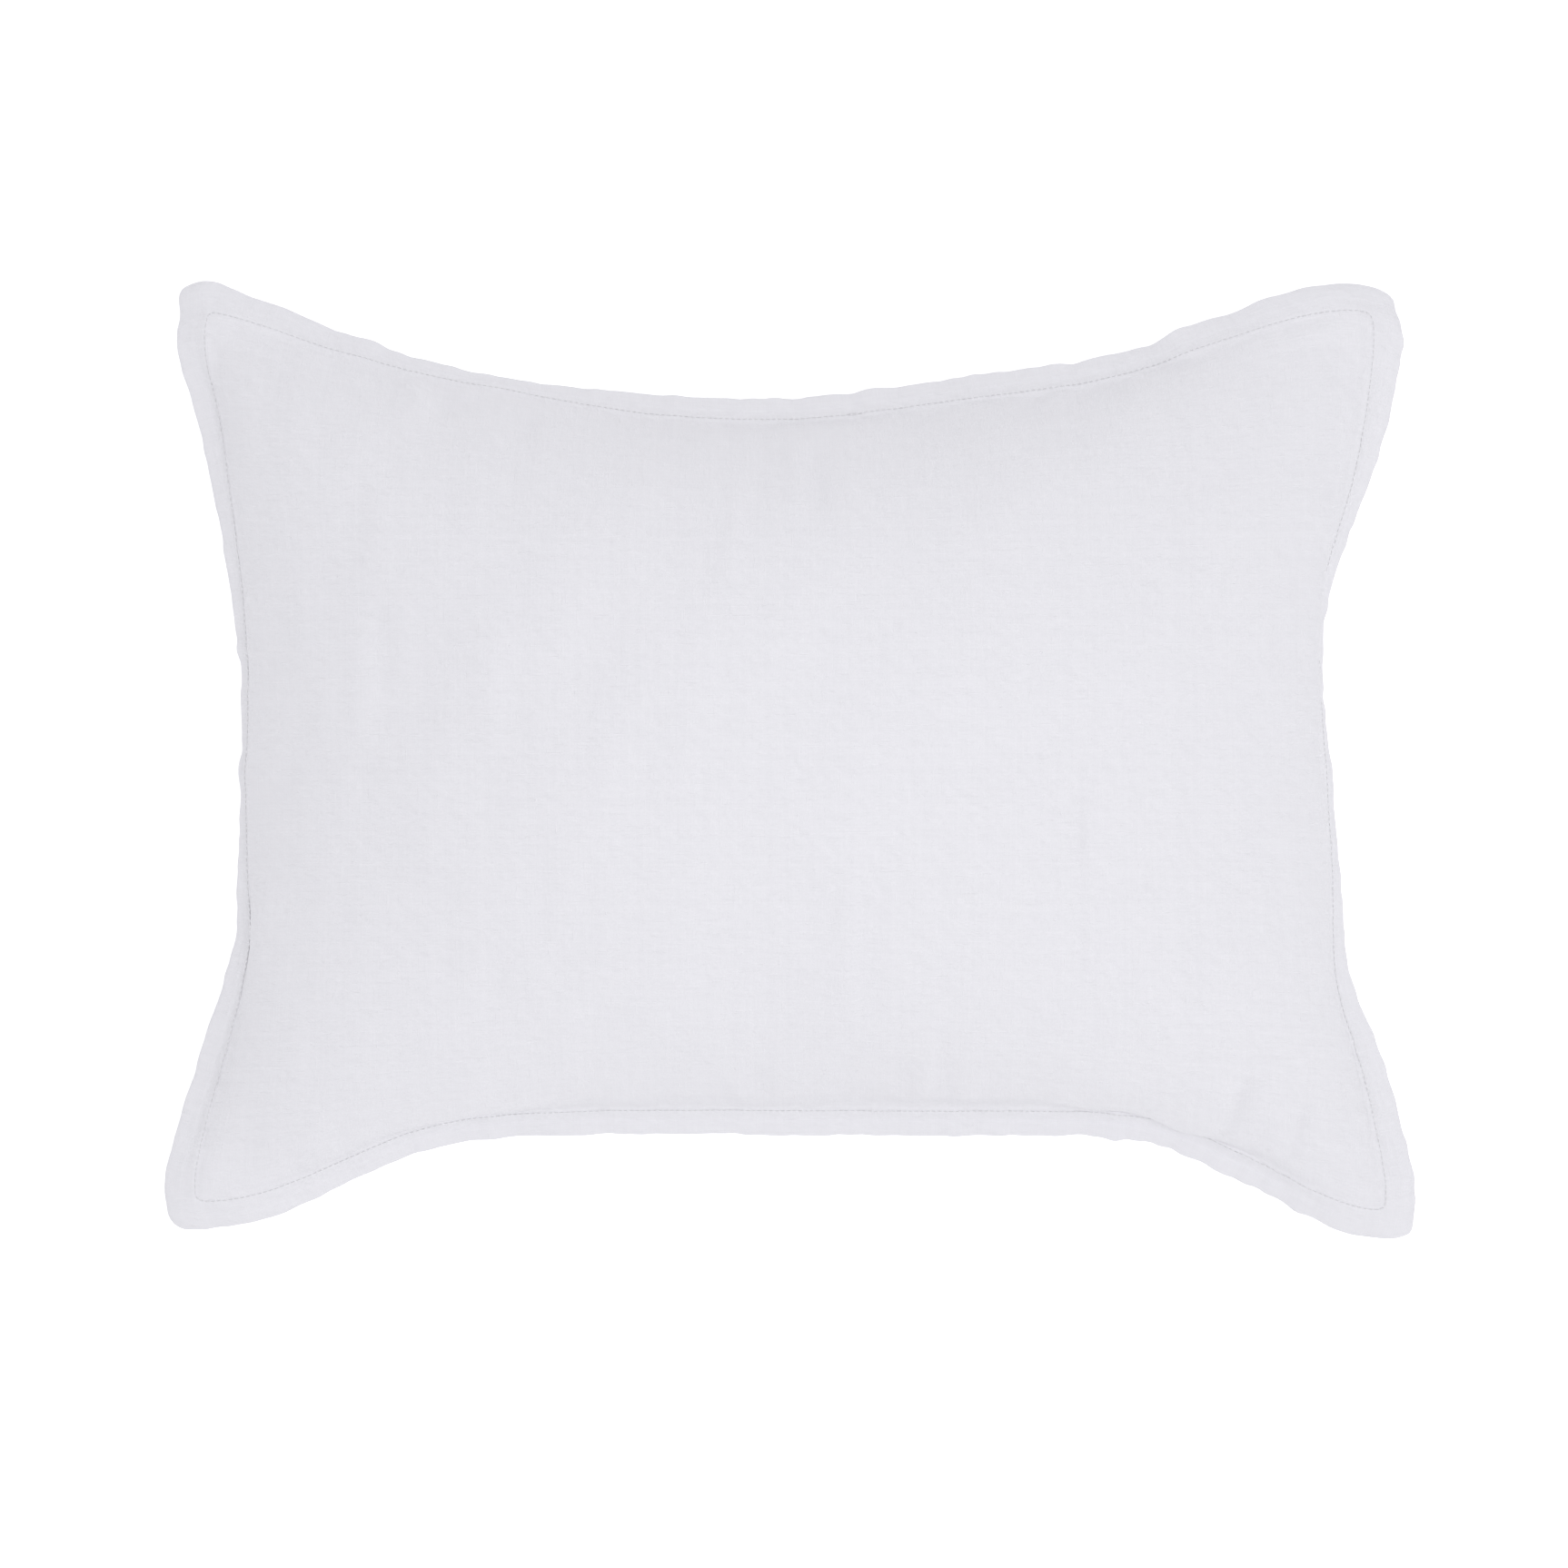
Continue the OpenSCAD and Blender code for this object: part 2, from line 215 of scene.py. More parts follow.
def area_normals(x):
    """Normals of a grid of points, as long as the area that each point stands for."""
    return np.cross(np.gradient(x, axis=1), np.gradient(x, axis=0))


def unit(v):
    """Vectors scaled to length 1."""
    return v / (np.linalg.norm(v, axis=-1, keepdims=True) + 1e-15)


def start_shape(nx, ny, k):
    """A smooth filled shape near the answer, for the coarsest level."""
    s, t = np.meshgrid(np.linspace(-1, 1, nx + 1), np.linspace(-1, 1, ny + 1))
    x = s * (0.325 - 0.045 * (1 - t ** 2))
    y = t * (0.247 - 0.055 * (1 - s ** 2))
    a = np.clip(np.abs(s) / (1 - 2 * k / nx), 0, 1)
    b = np.clip(np.abs(t) / (1 - 2 * k / ny), 0, 1)
    dome = ((1 - a ** 2.2) * (1 - b ** 2.2)) ** 0.6
    front = np.stack([x, y, 0.1 + 0.1 * dome], axis=2)
    back = np.stack([x, y, 0.1 - 0.099 * dome], axis=2)
    return front, back


# Share of its width that the flange shows from above, at places along each side from one end (0) to
# the other (1): it hangs down beside the fullest parts of the pillow.
SPREAD_NEAR = ((0, 0.75), (0.15, 0.65), (0.35, 0.75), (0.65, 0.78), (0.85, 0.75), (1, 0.75))
SPREAD_FAR = ((0, 0.70), (0.12, 0.60), (0.27, 0.38), (0.38, 0.65), (0.55, 0.72), (0.8, 0.70), (1, 0.70))
SPREAD_LEFT = ((0, 0.85), (0.2, 0.75), (0.35, 0.40), (0.48, 0.15), (0.65, 0.35), (0.85, 0.60), (1, 0.70))
SPREAD_RIGHT = ((0, 0.75), (0.2, 0.65), (0.4, 0.25), (0.6, 0.12), (0.75, 0.40), (0.9, 0.65), (1, 0.75))
SPREAD_CORNER = 0.78
CORNER_REACH = 6  # how far a corner's layout reaches, in flange widths

RIMS = ((0, slice(None)), (-1, slice(None)), (slice(None), 0), (slice(None), -1))


def flange_targets(nx, ny, k):
    """Where the points of a flange k cells wide lie in plan: its rim on the outline, its seam
    inside it."""
    low = outline_edge((-1, -1), (1, -1), nx + 1)
    high = outline_edge((-1, 1), (1, 1), nx + 1)
    left = outline_edge((-1, -1), (-1, 1), ny + 1)
    right = outline_edge((1, -1), (1, 1), ny + 1)
    target = np.zeros((ny + 1, nx + 1, 2))
    sides = (
        (target, low, left, right, 1, SPREAD_NEAR),
        (target[::-1], high, left[::-1], right[::-1], -1, SPREAD_FAR),
        (target.transpose(1, 0, 2), left, low, high, -1, SPREAD_LEFT),
        (target.transpose(1, 0, 2)[::-1], right, low[::-1], high[::-1], 1, SPREAD_RIGHT),
    )
    for rows, rim, start, end, turn, spread in sides:
        at = np.arange(len(rim))
        width = FLANGE * np.interp(at / at[-1], *zip(*spread))[:, None]
        from_start = 1 - step01((at - k) / (CORNER_REACH * k))
        from_end = from_start[::-1]
        along = np.gradient(rim, axis=0)
        inward = turn * unit(np.stack([-along[:, 1], along[:, 0]], axis=1))
        for r in range(k + 1):
            step = inward * width * (r / k) * (1 - from_start - from_end)[:, None]
            corner = from_start[:, None] * (start[r] - start[0]) + from_end[:, None] * (end[r] - end[0])
            step += SPREAD_CORNER * corner
            rows[r] = rim + step
    return target


def relax(front, back, k, steps, draw):
    """Lets the filled sham settle. The flange is k cells wide, and draw is the share of its
    distance to the outline that it is moved in one step."""
    s = SOLVER
    ny, nx = front.shape[0] - 1, front.shape[1] - 1
    cell_x, cell_y = PANEL_LENGTH / nx, PANEL_WIDTH / ny
    pocket = (slice(k, ny + 1 - k), slice(k, nx + 1 - k))
    top, low = front[pocket], back[pocket]
    low_was, front_was = low.copy(), front.copy()
    a, b = np.meshgrid(np.linspace(-1, 1, nx + 1), np.linspace(-1, 1, ny + 1))
    push = (1 - s["corner_empty"] * np.abs(a) ** 10 * np.abs(b) ** 10)[pocket]
    dt2 = s["step"] * cell_x ** 2
    target = flange_targets(nx, ny, k)
    flange = np.ones((ny + 1, nx + 1), dtype=bool)
    flange[k + 1:ny - k, k + 1:nx - k] = False
    for _ in range(steps):
        n_top, n_low = area_normals(top), -area_normals(low)
        volume = (top[..., 2] * n_top[..., 2]).sum() + (low[..., 2] * n_low[..., 2]).sum()
        press = s["fill_stiffness"] * max(s["fill_volume"] / volume - 1, s["least_press"])
        pushes = [
            dt2 / (cell_x * cell_y) * normals * push[..., None]
            * np.maximum(press + s["fill_weight"] * (s["fill_level"] - x[..., 2:]), 0)
            for x, normals in ((top, n_top), (low, n_low))
        ]
        for x, was in ((front, front_was), (low, low_was)):
            moved = (x - was) * s["keep_speed"]
            was[:] = x
            x += moved
            x[..., 2] -= dt2 * s["cloth_weight"]
        top += pushes[0]
        low += pushes[1]
        sweep(front, cell_x, cell_y)
        sweep(low, cell_x, cell_y)
        for e in RIMS:
            joined = (2 * top[e] + low[e]) / 3
            top[e] = joined
            low[e] = joined
        front[flange, :2] += draw * (target[flange] - front[flange, :2])
        shut = np.minimum(top[..., 2] - low[..., 2] - s["layer_gap"], 0)[1:-1, 1:-1]
        top[1:-1, 1:-1, 2] -= shut / 2
        low[1:-1, 1:-1, 2] += shut / 2
        for x, was in ((front, front_was), (low, low_was)):
            down = x[..., 2] < s["floor"]
            x[..., 2] = np.maximum(x[..., 2], s["floor"])
            x[down] += s["grip"] * (was[down] - x[down]) * (1, 1, 0)
    whole = front.copy()
    whole[pocket] = low
    return front, whole


def cubic_weights(t):
    """Weights of four neighbours for a smooth curve between the middle two."""
    return (
        (-t + 2 * t * t - t ** 3) / 2,
        (2 - 5 * t * t + 3 * t ** 3) / 2,
        (t + 4 * t * t - 3 * t ** 3) / 2,
        (-t * t + t ** 3) / 2,
    )


def sample(x, cols, rows):
    """Smooth values of a grid at fractional columns and rows."""
    for axis, at in ((1, cols), (0, rows)):
        x = np.moveaxis(x, axis, 0)
        n = x.shape[0]
        padded = np.concatenate([[2 * x[0] - x[1]], x, [2 * x[-1] - x[-2]]])
        i = np.clip(np.floor(at).astype(int), 0, n - 2)
        t = (at - i).reshape((-1,) + (1,) * (x.ndim - 1))
        x = sum(w * padded[i + m] for m, w in enumerate(cubic_weights(t)))
        x = np.moveaxis(x, 0, axis)
    return x


def refine(x, factor):
    """A grid with its cells divided by a whole number."""
    ny, nx = x.shape[0] - 1, x.shape[1] - 1
    return sample(x, np.arange(nx * factor + 1) / factor, np.arange(ny * factor + 1) / factor)


def settle():
    """The settled front and back of the sham, as grids of points over the flat panel."""
    k = FLANGE_CELLS // COARSE
    front, back = start_shape(CELLS_X // COARSE, CELLS_Y // COARSE, k)
    front, back = relax(front, back, k, 900, 0.02)
    front, back = refine(front, COARSE), refine(back, COARSE)
    front, back = relax(front, back, FLANGE_CELLS, 700, 0.05)
    front, back = refine(front, 2), refine(back, 2)
    front, back = relax(front, back, FLANGE_CELLS * 2, 250, 0.1)
    return front, back


def fit_to_frame(front, back):
    """Takes up the last millimetres between the settled edge and the frame's outline."""
    ny, nx = front.shape[0] - 1, front.shape[1] - 1
    miss = np.zeros((ny + 1, nx + 1, 2))
    target = flange_targets(nx, ny, 1)
    for e in RIMS:
        miss[e] = target[e] - front[e][:, :2]
    s, t = np.linspace(0, 1, nx + 1)[None, :, None], np.linspace(0, 1, ny + 1)[:, None, None]
    spread = (
        (1 - t) * miss[:1] + t * miss[-1:] + (1 - s) * miss[:, :1] + s * miss[:, -1:]
        - (1 - s) * (1 - t) * miss[0, 0] - s * (1 - t) * miss[0, -1]
        - (1 - s) * t * miss[-1, 0] - s * t * miss[-1, -1]
    )
    lowest = min(front[..., 2].min(), back[..., 2].min())
    grow = CROWN / (front[..., 2].max() - lowest)
    for x in (front, back):
        x[..., :2] += spread
        x[..., 2] = (x[..., 2] - lowest) * grow
    print("edge moved by up to %.1f mm, height scaled by %.3f" % (1000 * np.abs(miss).max(), grow))
    return front, back


FRONT, BACK = fit_to_frame(*settle())


# ---- lines of the flat pattern ----

STITCH_LINE = FLANGE - 0.001  # from the flange's edge to its stitches
ALLOWANCE = 0.009  # width of the seam allowance folded inside the flange
OVERLAP = 0.100  # how far the two back panels overlap
HEM = 0.022  # width of the hem along each panel's free edge
FLAP_END = (PANEL_LENGTH + OVERLAP) / 2  # the flap's free edge
UNDER_START = (PANEL_LENGTH - OVERLAP) / 2  # the under panel's free edge
STEP_APART = 0.008  # over which the two panels come together
HEM_STEP = 0.0008  # over which a hem's folded edge steps down
LINE_STEP = 0.0025  # widest gap between two lines of a cloth mesh

# Lines near a cut edge and near a hem's fold, closer together where the cloth turns or steps.
EDGE_MARKS = [
    0, 0.00015, 0.0004, 0.0008, 0.0013, 0.0025, 0.0045, 0.0065, 0.008, 0.009, 0.010, 0.011, 0.0125, 0.014,
    0.0153, 0.0162, STITCH_LINE - 0.0005, STITCH_LINE, STITCH_LINE + 0.0005, FLANGE, FLANGE + 0.0005,
    FLANGE + 0.0011, FLANGE + 0.0019, FLANGE + 0.003, FLANGE + 0.0045, FLANGE + 0.0065, FLANGE + 0.0085,
]
HEM_MARKS = [0, 0.0001, 0.0003, 0.0007, 0.0015, HEM - 0.002, HEM - HEM_STEP, HEM, HEM + HEM_STEP]


def fill_gaps(marks):
    """The marks in order, with even lines between any two that are far apart. There is an odd
    number in all, because an inner face keeps every other line."""
    marks = np.unique(np.round(marks, 7))
    lines = [marks[:1]]
    for a, b in zip(marks[:-1], marks[1:]):
        lines.append(np.linspace(a, b, int(math.ceil((b - a) / LINE_STEP - 0.01)) + 1)[1:])
    lines = np.concatenate(lines)
    if len(lines) % 2 == 0:
        widest = int(np.argmax(np.diff(lines)))
        lines = np.insert(lines, widest + 1, lines[widest:widest + 2].mean())
    return lines


def both_ends(marks, length):
    """The marks from one edge, and the same from the other."""
    return list(marks) + [length - m for m in marks]


COLS = fill_gaps(both_ends(EDGE_MARKS, PANEL_LENGTH))
ROWS = fill_gaps(both_ends(EDGE_MARKS, PANEL_WIDTH))
FLAP_COLS = fill_gaps(
    EDGE_MARKS + [FLAP_END - m for m in HEM_MARKS] + [UNDER_START - STEP_APART, UNDER_START]
)
UNDER_COLS = fill_gaps(
    [PANEL_LENGTH - m for m in EDGE_MARKS] + [UNDER_START + m for m in HEM_MARKS]
    + [FLAP_END, FLAP_END + STEP_APART]
)


def bump(x, middle, width):
    """A smooth hump, 1 high."""
    return np.exp(-((x - middle) / width) ** 2)


def edge_distance(cols, rows):
    """Distance in the flat panel from the nearest cut edge, for a grid of lines."""
    along = np.minimum(cols, PANEL_LENGTH - cols)
    return np.minimum(along[None, :], np.minimum(rows, PANEL_WIDTH - rows)[:, None])


def wander(x, step, seed):
    """Smooth noise along a line, about 1 high."""
    values = np.random.default_rng(seed).normal(size=int(PANEL_LENGTH / step) + 5)
    i = np.floor(x / step).astype(int)
    return sum(w * values[i + m] for m, w in enumerate(cubic_weights(x / step - i)))


def clouds(cols, rows, step_s, step_t, seed):
    """Smooth noise over the pattern, about 1 high."""
    shape = (int(PANEL_WIDTH / step_t) + 3, int(PANEL_LENGTH / step_s) + 3)
    values = np.random.default_rng(seed).normal(size=shape)
    return sample(values, cols / step_s, rows / step_t)


# ---- middle surfaces of the cloth ----

def pocket_part(grid, cols, rows):
    """A settled panel inside the flange, whose surface has a crease at the seam."""
    ny, nx = grid.shape[0] - 1, grid.shape[1] - 1
    k = FLANGE_CELLS * nx // CELLS_X
    inner = grid[k:ny + 1 - k, k:nx + 1 - k]
    i = np.clip(cols / PANEL_LENGTH * nx, k, nx - k) - k
    j = np.clip(rows / PANEL_WIDTH * ny, k, ny - k) - k
    return sample(inner, i, j)


def flange_part(cols, rows):
    """The surface midway between front and back, which the flange's layers lie on."""
    middle = (FRONT + BACK) / 2
    ny, nx = middle.shape[0] - 1, middle.shape[1] - 1
    return sample(middle, cols / PANEL_LENGTH * nx, rows / PANEL_WIDTH * ny)


def area_unit(x):
    """Unit normals of a grid of points."""
    return unit(area_normals(x))


def local_pucker(cols, rows):
    """How strongly the seam gathers: most near the front right and back right corners."""
    s, t = cols[None, :], rows[:, None]
    right_front = bump(s, 0.55, 0.09) * bump(t, 0.01, 0.07)
    right_back = bump(s, 0.50, 0.10) * bump(t, 0.50, 0.05)
    return 0.55 + 1.1 * right_front + 0.9 * right_back


SIDES = 4
GATHERS = (  # half wavelength, height, how far in it reaches
    (0.0055, 0.0004, 0.006),
    (0.011, 0.0011, 0.014),
    (0.024, 0.0022, 0.035),
)


def from_sides(cols, rows):
    """For each side of the panel: the place along it, and the distance in from it."""
    s, t = cols[None, :], rows[:, None]
    return (s, t), (s, PANEL_WIDTH - t), (t, s), (t, PANEL_LENGTH - s)


def gathers(cols, rows, seed):
    """Height of the small folds that run in from the seam."""
    total = 0
    for side, (along, inward) in enumerate(from_sides(cols, rows)):
        depth = np.maximum(inward - FLANGE, 0)
        for i, (step, height, reach) in enumerate(GATHERS):
            fold = wander(along, step, seed + SIDES * i + side)
            total = total + height * fold * (0.1 + depth / reach) * np.exp(-depth / reach * 1.5)
    return total * local_pucker(cols, rows) * step01((edge_distance(cols, rows) - FLANGE) / 0.006)


def flange_ripple(cols, rows):
    """Height of the flange's own waves, strongest at its free edge."""
    e = edge_distance(cols, rows)
    total = 0
    for side, (along, inward) in enumerate(from_sides(cols, rows)):
        near = np.exp(-np.maximum(inward, 0) / 0.012)
        long_wave = 0.0009 * wander(along, 0.013, 60 + side)
        short_wave = 0.0006 * wander(along, 0.006, 70 + side)
        total = total + near * (long_wave + short_wave)
    fade = 1 - step01((e - FLANGE) / 0.012)
    return total * fade * local_pucker(cols, rows)


def crease(s, t, start, end, width, rise):
    """A soft straight fold between two points of the pattern: a ridge with a hollow on its left."""
    a, b = np.array(start), np.array(end)
    length = np.linalg.norm(b - a)
    d = (b - a) / length
    run = (s - a[0]) * d[0] + (t - a[1]) * d[1]
    off = (s - a[0]) * d[1] - (t - a[1]) * d[0]
    ends = step01(run / (0.35 * length)) * step01((length - run) / (0.35 * length))
    ridge = bump(off, 0, width)
    hollow = 0.8 * bump(off, -1.5 * width, 1.2 * width)
    return rise * ends * (ridge - hollow)


# Start, end, width and height of single creases, in the flat pattern.
FRONT_CREASES = (
    ((0.362, 0.215), (0.356, 0.090), 0.0066, 0.0022),
    ((0.474, 0.290), (0.470, 0.080), 0.0058, 0.0016),
    ((0.560, 0.095), (0.548, 0.030), 0.0080, 0.0044),
    ((0.590, 0.075), (0.585, 0.024), 0.0066, 0.0028),
    ((0.330, 0.450), (0.340, 0.380), 0.0060, 0.0020),
    ((0.306, 0.430), (0.300, 0.340), 0.0050, 0.0012),
    ((0.130, 0.486), (0.142, 0.440), 0.0080, 0.0026),
    ((0.112, 0.330), (0.080, 0.180), 0.0200, 0.0012),
    ((0.400, 0.100), (0.398, 0.028), 0.0060, 0.0024),
    ((0.300, 0.075), (0.306, 0.026), 0.0060, 0.0020),
    ((0.596, 0.4795), (0.630, 0.4825), 0.0030, 0.0010),
)
BACK_CREASES = (
    ((0.200, 0.110), (0.215, 0.030), 0.0060, 0.0016),
    ((0.500, 0.400), (0.520, 0.480), 0.0070, 0.0016),
    ((0.110, 0.400), (0.060, 0.460), 0.0080, 0.0018),
    ((0.560, 0.120), (0.620, 0.060), 0.0080, 0.0018),
)


def undulation(cols, rows, seed, creases):
    """Height of the cloth's own unevenness over the fill."""
    inside = step01((edge_distance(cols, rows) - FLANGE) / 0.03)
    broad = 0.0009 * clouds(cols, rows, 0.045, 0.060, seed)
    small = 0.00035 * clouds(cols, rows, 0.012, 0.035, seed + 1)
    total = (broad + small) * inside
    for start, end, width, rise in creases:
        fold = crease(cols[None, :], rows[:, None], start, end, width, rise)
        total = total + fold * (0.3 + 0.7 * inside)
    return total * step01((edge_distance(cols, rows) - FLANGE) / 0.002)


def middles(cols, rows):
    """Middle surfaces of the front and of the back, which are one surface in the flange, with the
    direction that leads out of the pillow at each point."""
    flange = flange_part(cols, rows)
    inside = (edge_distance(cols, rows) > FLANGE - 1e-6)[..., None]
    ripple = area_unit(flange) * flange_ripple(cols, rows)[..., None]
    front = np.where(inside, pocket_part(FRONT, cols, rows), flange)
    back = np.where(inside, pocket_part(BACK, cols, rows), flange)
    front_rise = gathers(cols, rows, 100) + undulation(cols, rows, 200, FRONT_CREASES)
    back_rise = gathers(cols, rows, 300) + undulation(cols, rows, 400, BACK_CREASES)
    front = front + ripple + area_unit(front) * front_rise[..., None]
    back = back + ripple - area_unit(back) * back_rise[..., None]
    return front, back, area_unit(front), -area_unit(back)


# ---- layers of the sham ----

def rounding(distance, radius):
    """Share of the full thickness at a distance from a rounded edge."""
    return np.sqrt(1 - (1 - np.clip(distance / radius, 0, 1)) ** 2)


EDGE_RADIUS = 0.0013  # of the flange's turned edge
STITCH_DIP = 0.00004  # how deep the stitches draw the cloth in
FLANGE_SLACK = 0.00005  # how far the flange's layers stand off each other


def flange_half(e):
    """Half the flange's thickness: a round edge, the allowance folded inside, the stitched dip."""
    plump = 2 * CLOTH * (1 - 0.5 * step01((e - ALLOWANCE) / 0.002))
    dip = STITCH_DIP * bump(e, STITCH_LINE, 0.0009)
    return plump * rounding(e, EDGE_RADIUS) - dip + FLANGE_SLACK


def mix(a, b, share):
    """Blend from a to b."""
    return a * (1 - share) + b * share


TOUCH = 0.00003  # gap between two layers of cloth that lie together
SEAM_TURN = 0.003  # over which the cloth turns from flange to pocket
FILLED_LONG, FILLED_SHORT = 0.0005, 0.0010  # how high the hollow is filled, on long and short sides


def front_depths(cols, rows):
    """Where the front's outer and inner faces lie, out from its middle surface. The seam allowance
    fills the hollow along the stitch line, most on the short sides."""
    e = edge_distance(cols, rows)
    in_pocket = step01((e - STITCH_LINE) / SEAM_TURN)
    half = flange_half(np.minimum(e, STITCH_LINE))
    side_s = np.minimum(cols, PANEL_LENGTH - cols)[None, :]
    side_t = np.minimum(rows, PANEL_WIDTH - rows)[:, None]
    short_side = step01(0.5 + (side_t - side_s) / 0.012)
    filled = mix(FILLED_LONG, FILLED_SHORT, short_side) * bump(e, STITCH_LINE, SEAM_TURN)
    return mix(half, CLOTH / 2, in_pocket) + filled, mix(TOUCH, -CLOTH / 2, in_pocket)


GAPE = 0.00012  # how far the flap's free edge stands off, on the whole


def back_depths(cols, rows):
    """The same for the flap and the under panel, each over the whole grid. The flap lies over the
    under panel from UNDER_START to FLAP_END, and each has a hem three layers thick."""
    e = edge_distance(cols, rows)
    s = cols[None, :]
    in_pocket = step01((e - STITCH_LINE) / SEAM_TURN)
    half = flange_half(np.minimum(e, STITCH_LINE))
    edge_round = rounding(e, EDGE_RADIUS)
    over = step01((s - UNDER_START) / STEP_APART + 1)
    under = 1 - step01((s - FLAP_END) / STEP_APART)
    flap_hem = step01((s - FLAP_END + HEM + HEM_STEP) / HEM_STEP)
    under_hem = 1 - step01((s - UNDER_START - HEM) / HEM_STEP)
    under_thick = CLOTH * (1 + 2 * under_hem)
    flap_thick = CLOTH * (1 + 2 * flap_hem)
    seam_top = half + 2 * CLOTH * under_hem * under * edge_round
    under_out = mix(seam_top, mix(CLOTH / 2, -TOUCH, under), in_pocket)
    under_in = mix(TOUCH, under_out - mix(CLOTH, under_thick, under), in_pocket)
    near_end = step01((s - FLAP_END + 0.05) / 0.05)
    gape = np.maximum(GAPE * (1.2 + wander(rows, 0.05, 7))[:, None] * near_end, 0)
    flap_in_seam = mix(TOUCH, seam_top + TOUCH, over)
    flap_in = mix(flap_in_seam, mix(-CLOTH / 2, TOUCH, over) + gape, in_pocket)
    seam_flap = mix(half, seam_top + flap_thick * edge_round + TOUCH, over)
    flap_out = mix(seam_flap, flap_in + mix(CLOTH, flap_thick, over), in_pocket)
    return flap_out, flap_in, under_out, under_in


FLOOR_GAP = 0.0002  # between the floor and the lowest layer
FLOOR_SOFT = 0.0004  # height over which the floor takes hold


def back_lift(cols, back, outward, flap_out, under_out):
    """How far the floor holds the back's layers up, so that the outermost one lies on it."""
    outermost = mix(flap_out, under_out, step01((cols[None, :] - FLAP_END) / STEP_APART))
    sunk = FLOOR_GAP - (back + outward * outermost[..., None])[..., 2]
    return FLOOR_SOFT * np.logaddexp(0, sunk / FLOOR_SOFT)


# ---- mesh building ----

def new_mesh(name, points, faces):
    """A smooth-shaded object from points and faces."""
    mesh = bpy.data.meshes.new(name)
    mesh.from_pydata(points.tolist(), [], faces)
    mesh.shade_smooth()
    mesh.update()
    piece = bpy.data.objects.new(name, mesh)
    bpy.context.scene.collection.objects.link(piece)
    return piece


def add_weave(piece, values):
    """Stores each point's place in the flat cloth, which the materials read."""
    data = piece.data.attributes.new("weave", "FLOAT_VECTOR", "POINT")
    data.data.foreach_set("vector", np.ascontiguousarray(values, dtype=np.float32).ravel())


def grid_faces(m, n, flip):
    """Quads over a grid of m by n points."""
    j, i = np.mgrid[0:m - 1, 0:n - 1]
    c = (j * n + i).ravel()
    quads = np.stack([c, c + 1, c + n + 1, c + n], axis=1)
    return quads[:, ::-1] if flip else quads


def rim_loop(m, n):
    """Indices round the rim of a grid."""
    return np.concatenate([
        np.arange(n - 1), np.arange(m - 1) * n + n - 1,
        (m - 1) * n + np.arange(n - 1, 0, -1), np.arange(m - 1, 0, -1) * n,
    ])


def closed_sheet(name, outer, inner, cols, rows):
    """A closed sheet between two grids of points. The inner one keeps every other line."""
    m, n = outer.shape[:2]
    coarse = inner[::2, ::2]
    mc, nc = coarse.shape[:2]
    outward = (area_normals(outer) * (outer - inner)).sum() > 0
    rim, coarse_rim = rim_loop(m, n), rim_loop(mc, nc) + m * n
    even, odd = rim.reshape(-1, 2).T
    side = np.stack([even, coarse_rim, np.roll(coarse_rim, -1), np.roll(even, -1), odd], axis=1)
    faces = grid_faces(m, n, not outward).tolist()
    faces += (grid_faces(mc, nc, outward) + m * n).tolist()
    faces += (side if outward else side[:, ::-1]).tolist()
    piece = new_mesh(name, np.concatenate([outer.reshape(-1, 3), coarse.reshape(-1, 3)]), faces)
    flat = np.zeros((m, n, 3))
    flat[..., 0], flat[..., 1] = cols[None, :], rows[:, None]
    add_weave(piece, np.concatenate([flat.reshape(-1, 3), flat[::2, ::2].reshape(-1, 3)]))
    return piece


def at(grid, cols, rows, s, t):
    """Points of a grid at scattered places of the pattern."""
    i, j = np.interp(s, cols, np.arange(len(cols))), np.interp(t, rows, np.arange(len(rows)))
    i0, j0 = np.minimum(i.astype(int), len(cols) - 2), np.minimum(j.astype(int), len(rows) - 2)
    u, v = (i - i0)[:, None], (j - j0)[:, None]
    low = mix(grid[j0, i0], grid[j0, i0 + 1], u)
    high = mix(grid[j0 + 1, i0], grid[j0 + 1, i0 + 1], u)
    return mix(low, high, v)


# ---- sham ----

FRONT_MID, BACK_MID, FRONT_OUTWARD, BACK_OUTWARD = middles(COLS, ROWS)
front_out, front_in = front_depths(COLS, ROWS)
FRONT_OUTER = FRONT_MID + FRONT_OUTWARD * front_out[..., None]
FRONT_INNER = FRONT_MID + FRONT_OUTWARD * front_in[..., None]
front_piece = closed_sheet("sham_front_cloth", FRONT_OUTER, FRONT_INNER, COLS, ROWS)


def back_layers(cols):
    """Outer and inner faces of the flap and of the under panel, over the given columns."""
    _, back, _, outward = middles(cols, ROWS)
    depths = back_depths(cols, ROWS)
    back[..., 2] += back_lift(cols, back, outward, depths[0], depths[2])
    return [back + outward * depth[..., None] for depth in depths], outward


(FLAP_OUTER, FLAP_INNER, _, _), FLAP_OUTWARD = back_layers(FLAP_COLS)
(_, _, UNDER_OUTER, UNDER_INNER), UNDER_OUTWARD = back_layers(UNDER_COLS)


HEM_RADIUS = 0.0007  # of a hem's folded edge


def round_free_edge(outer, inner, distance):
    """Rounds the folded edge of a hem."""
    centre = (outer + inner) / 2
    share = np.maximum(rounding(distance, HEM_RADIUS), 0.05)[None, :, None]
    return mix(centre, outer, share), mix(centre, inner, share)


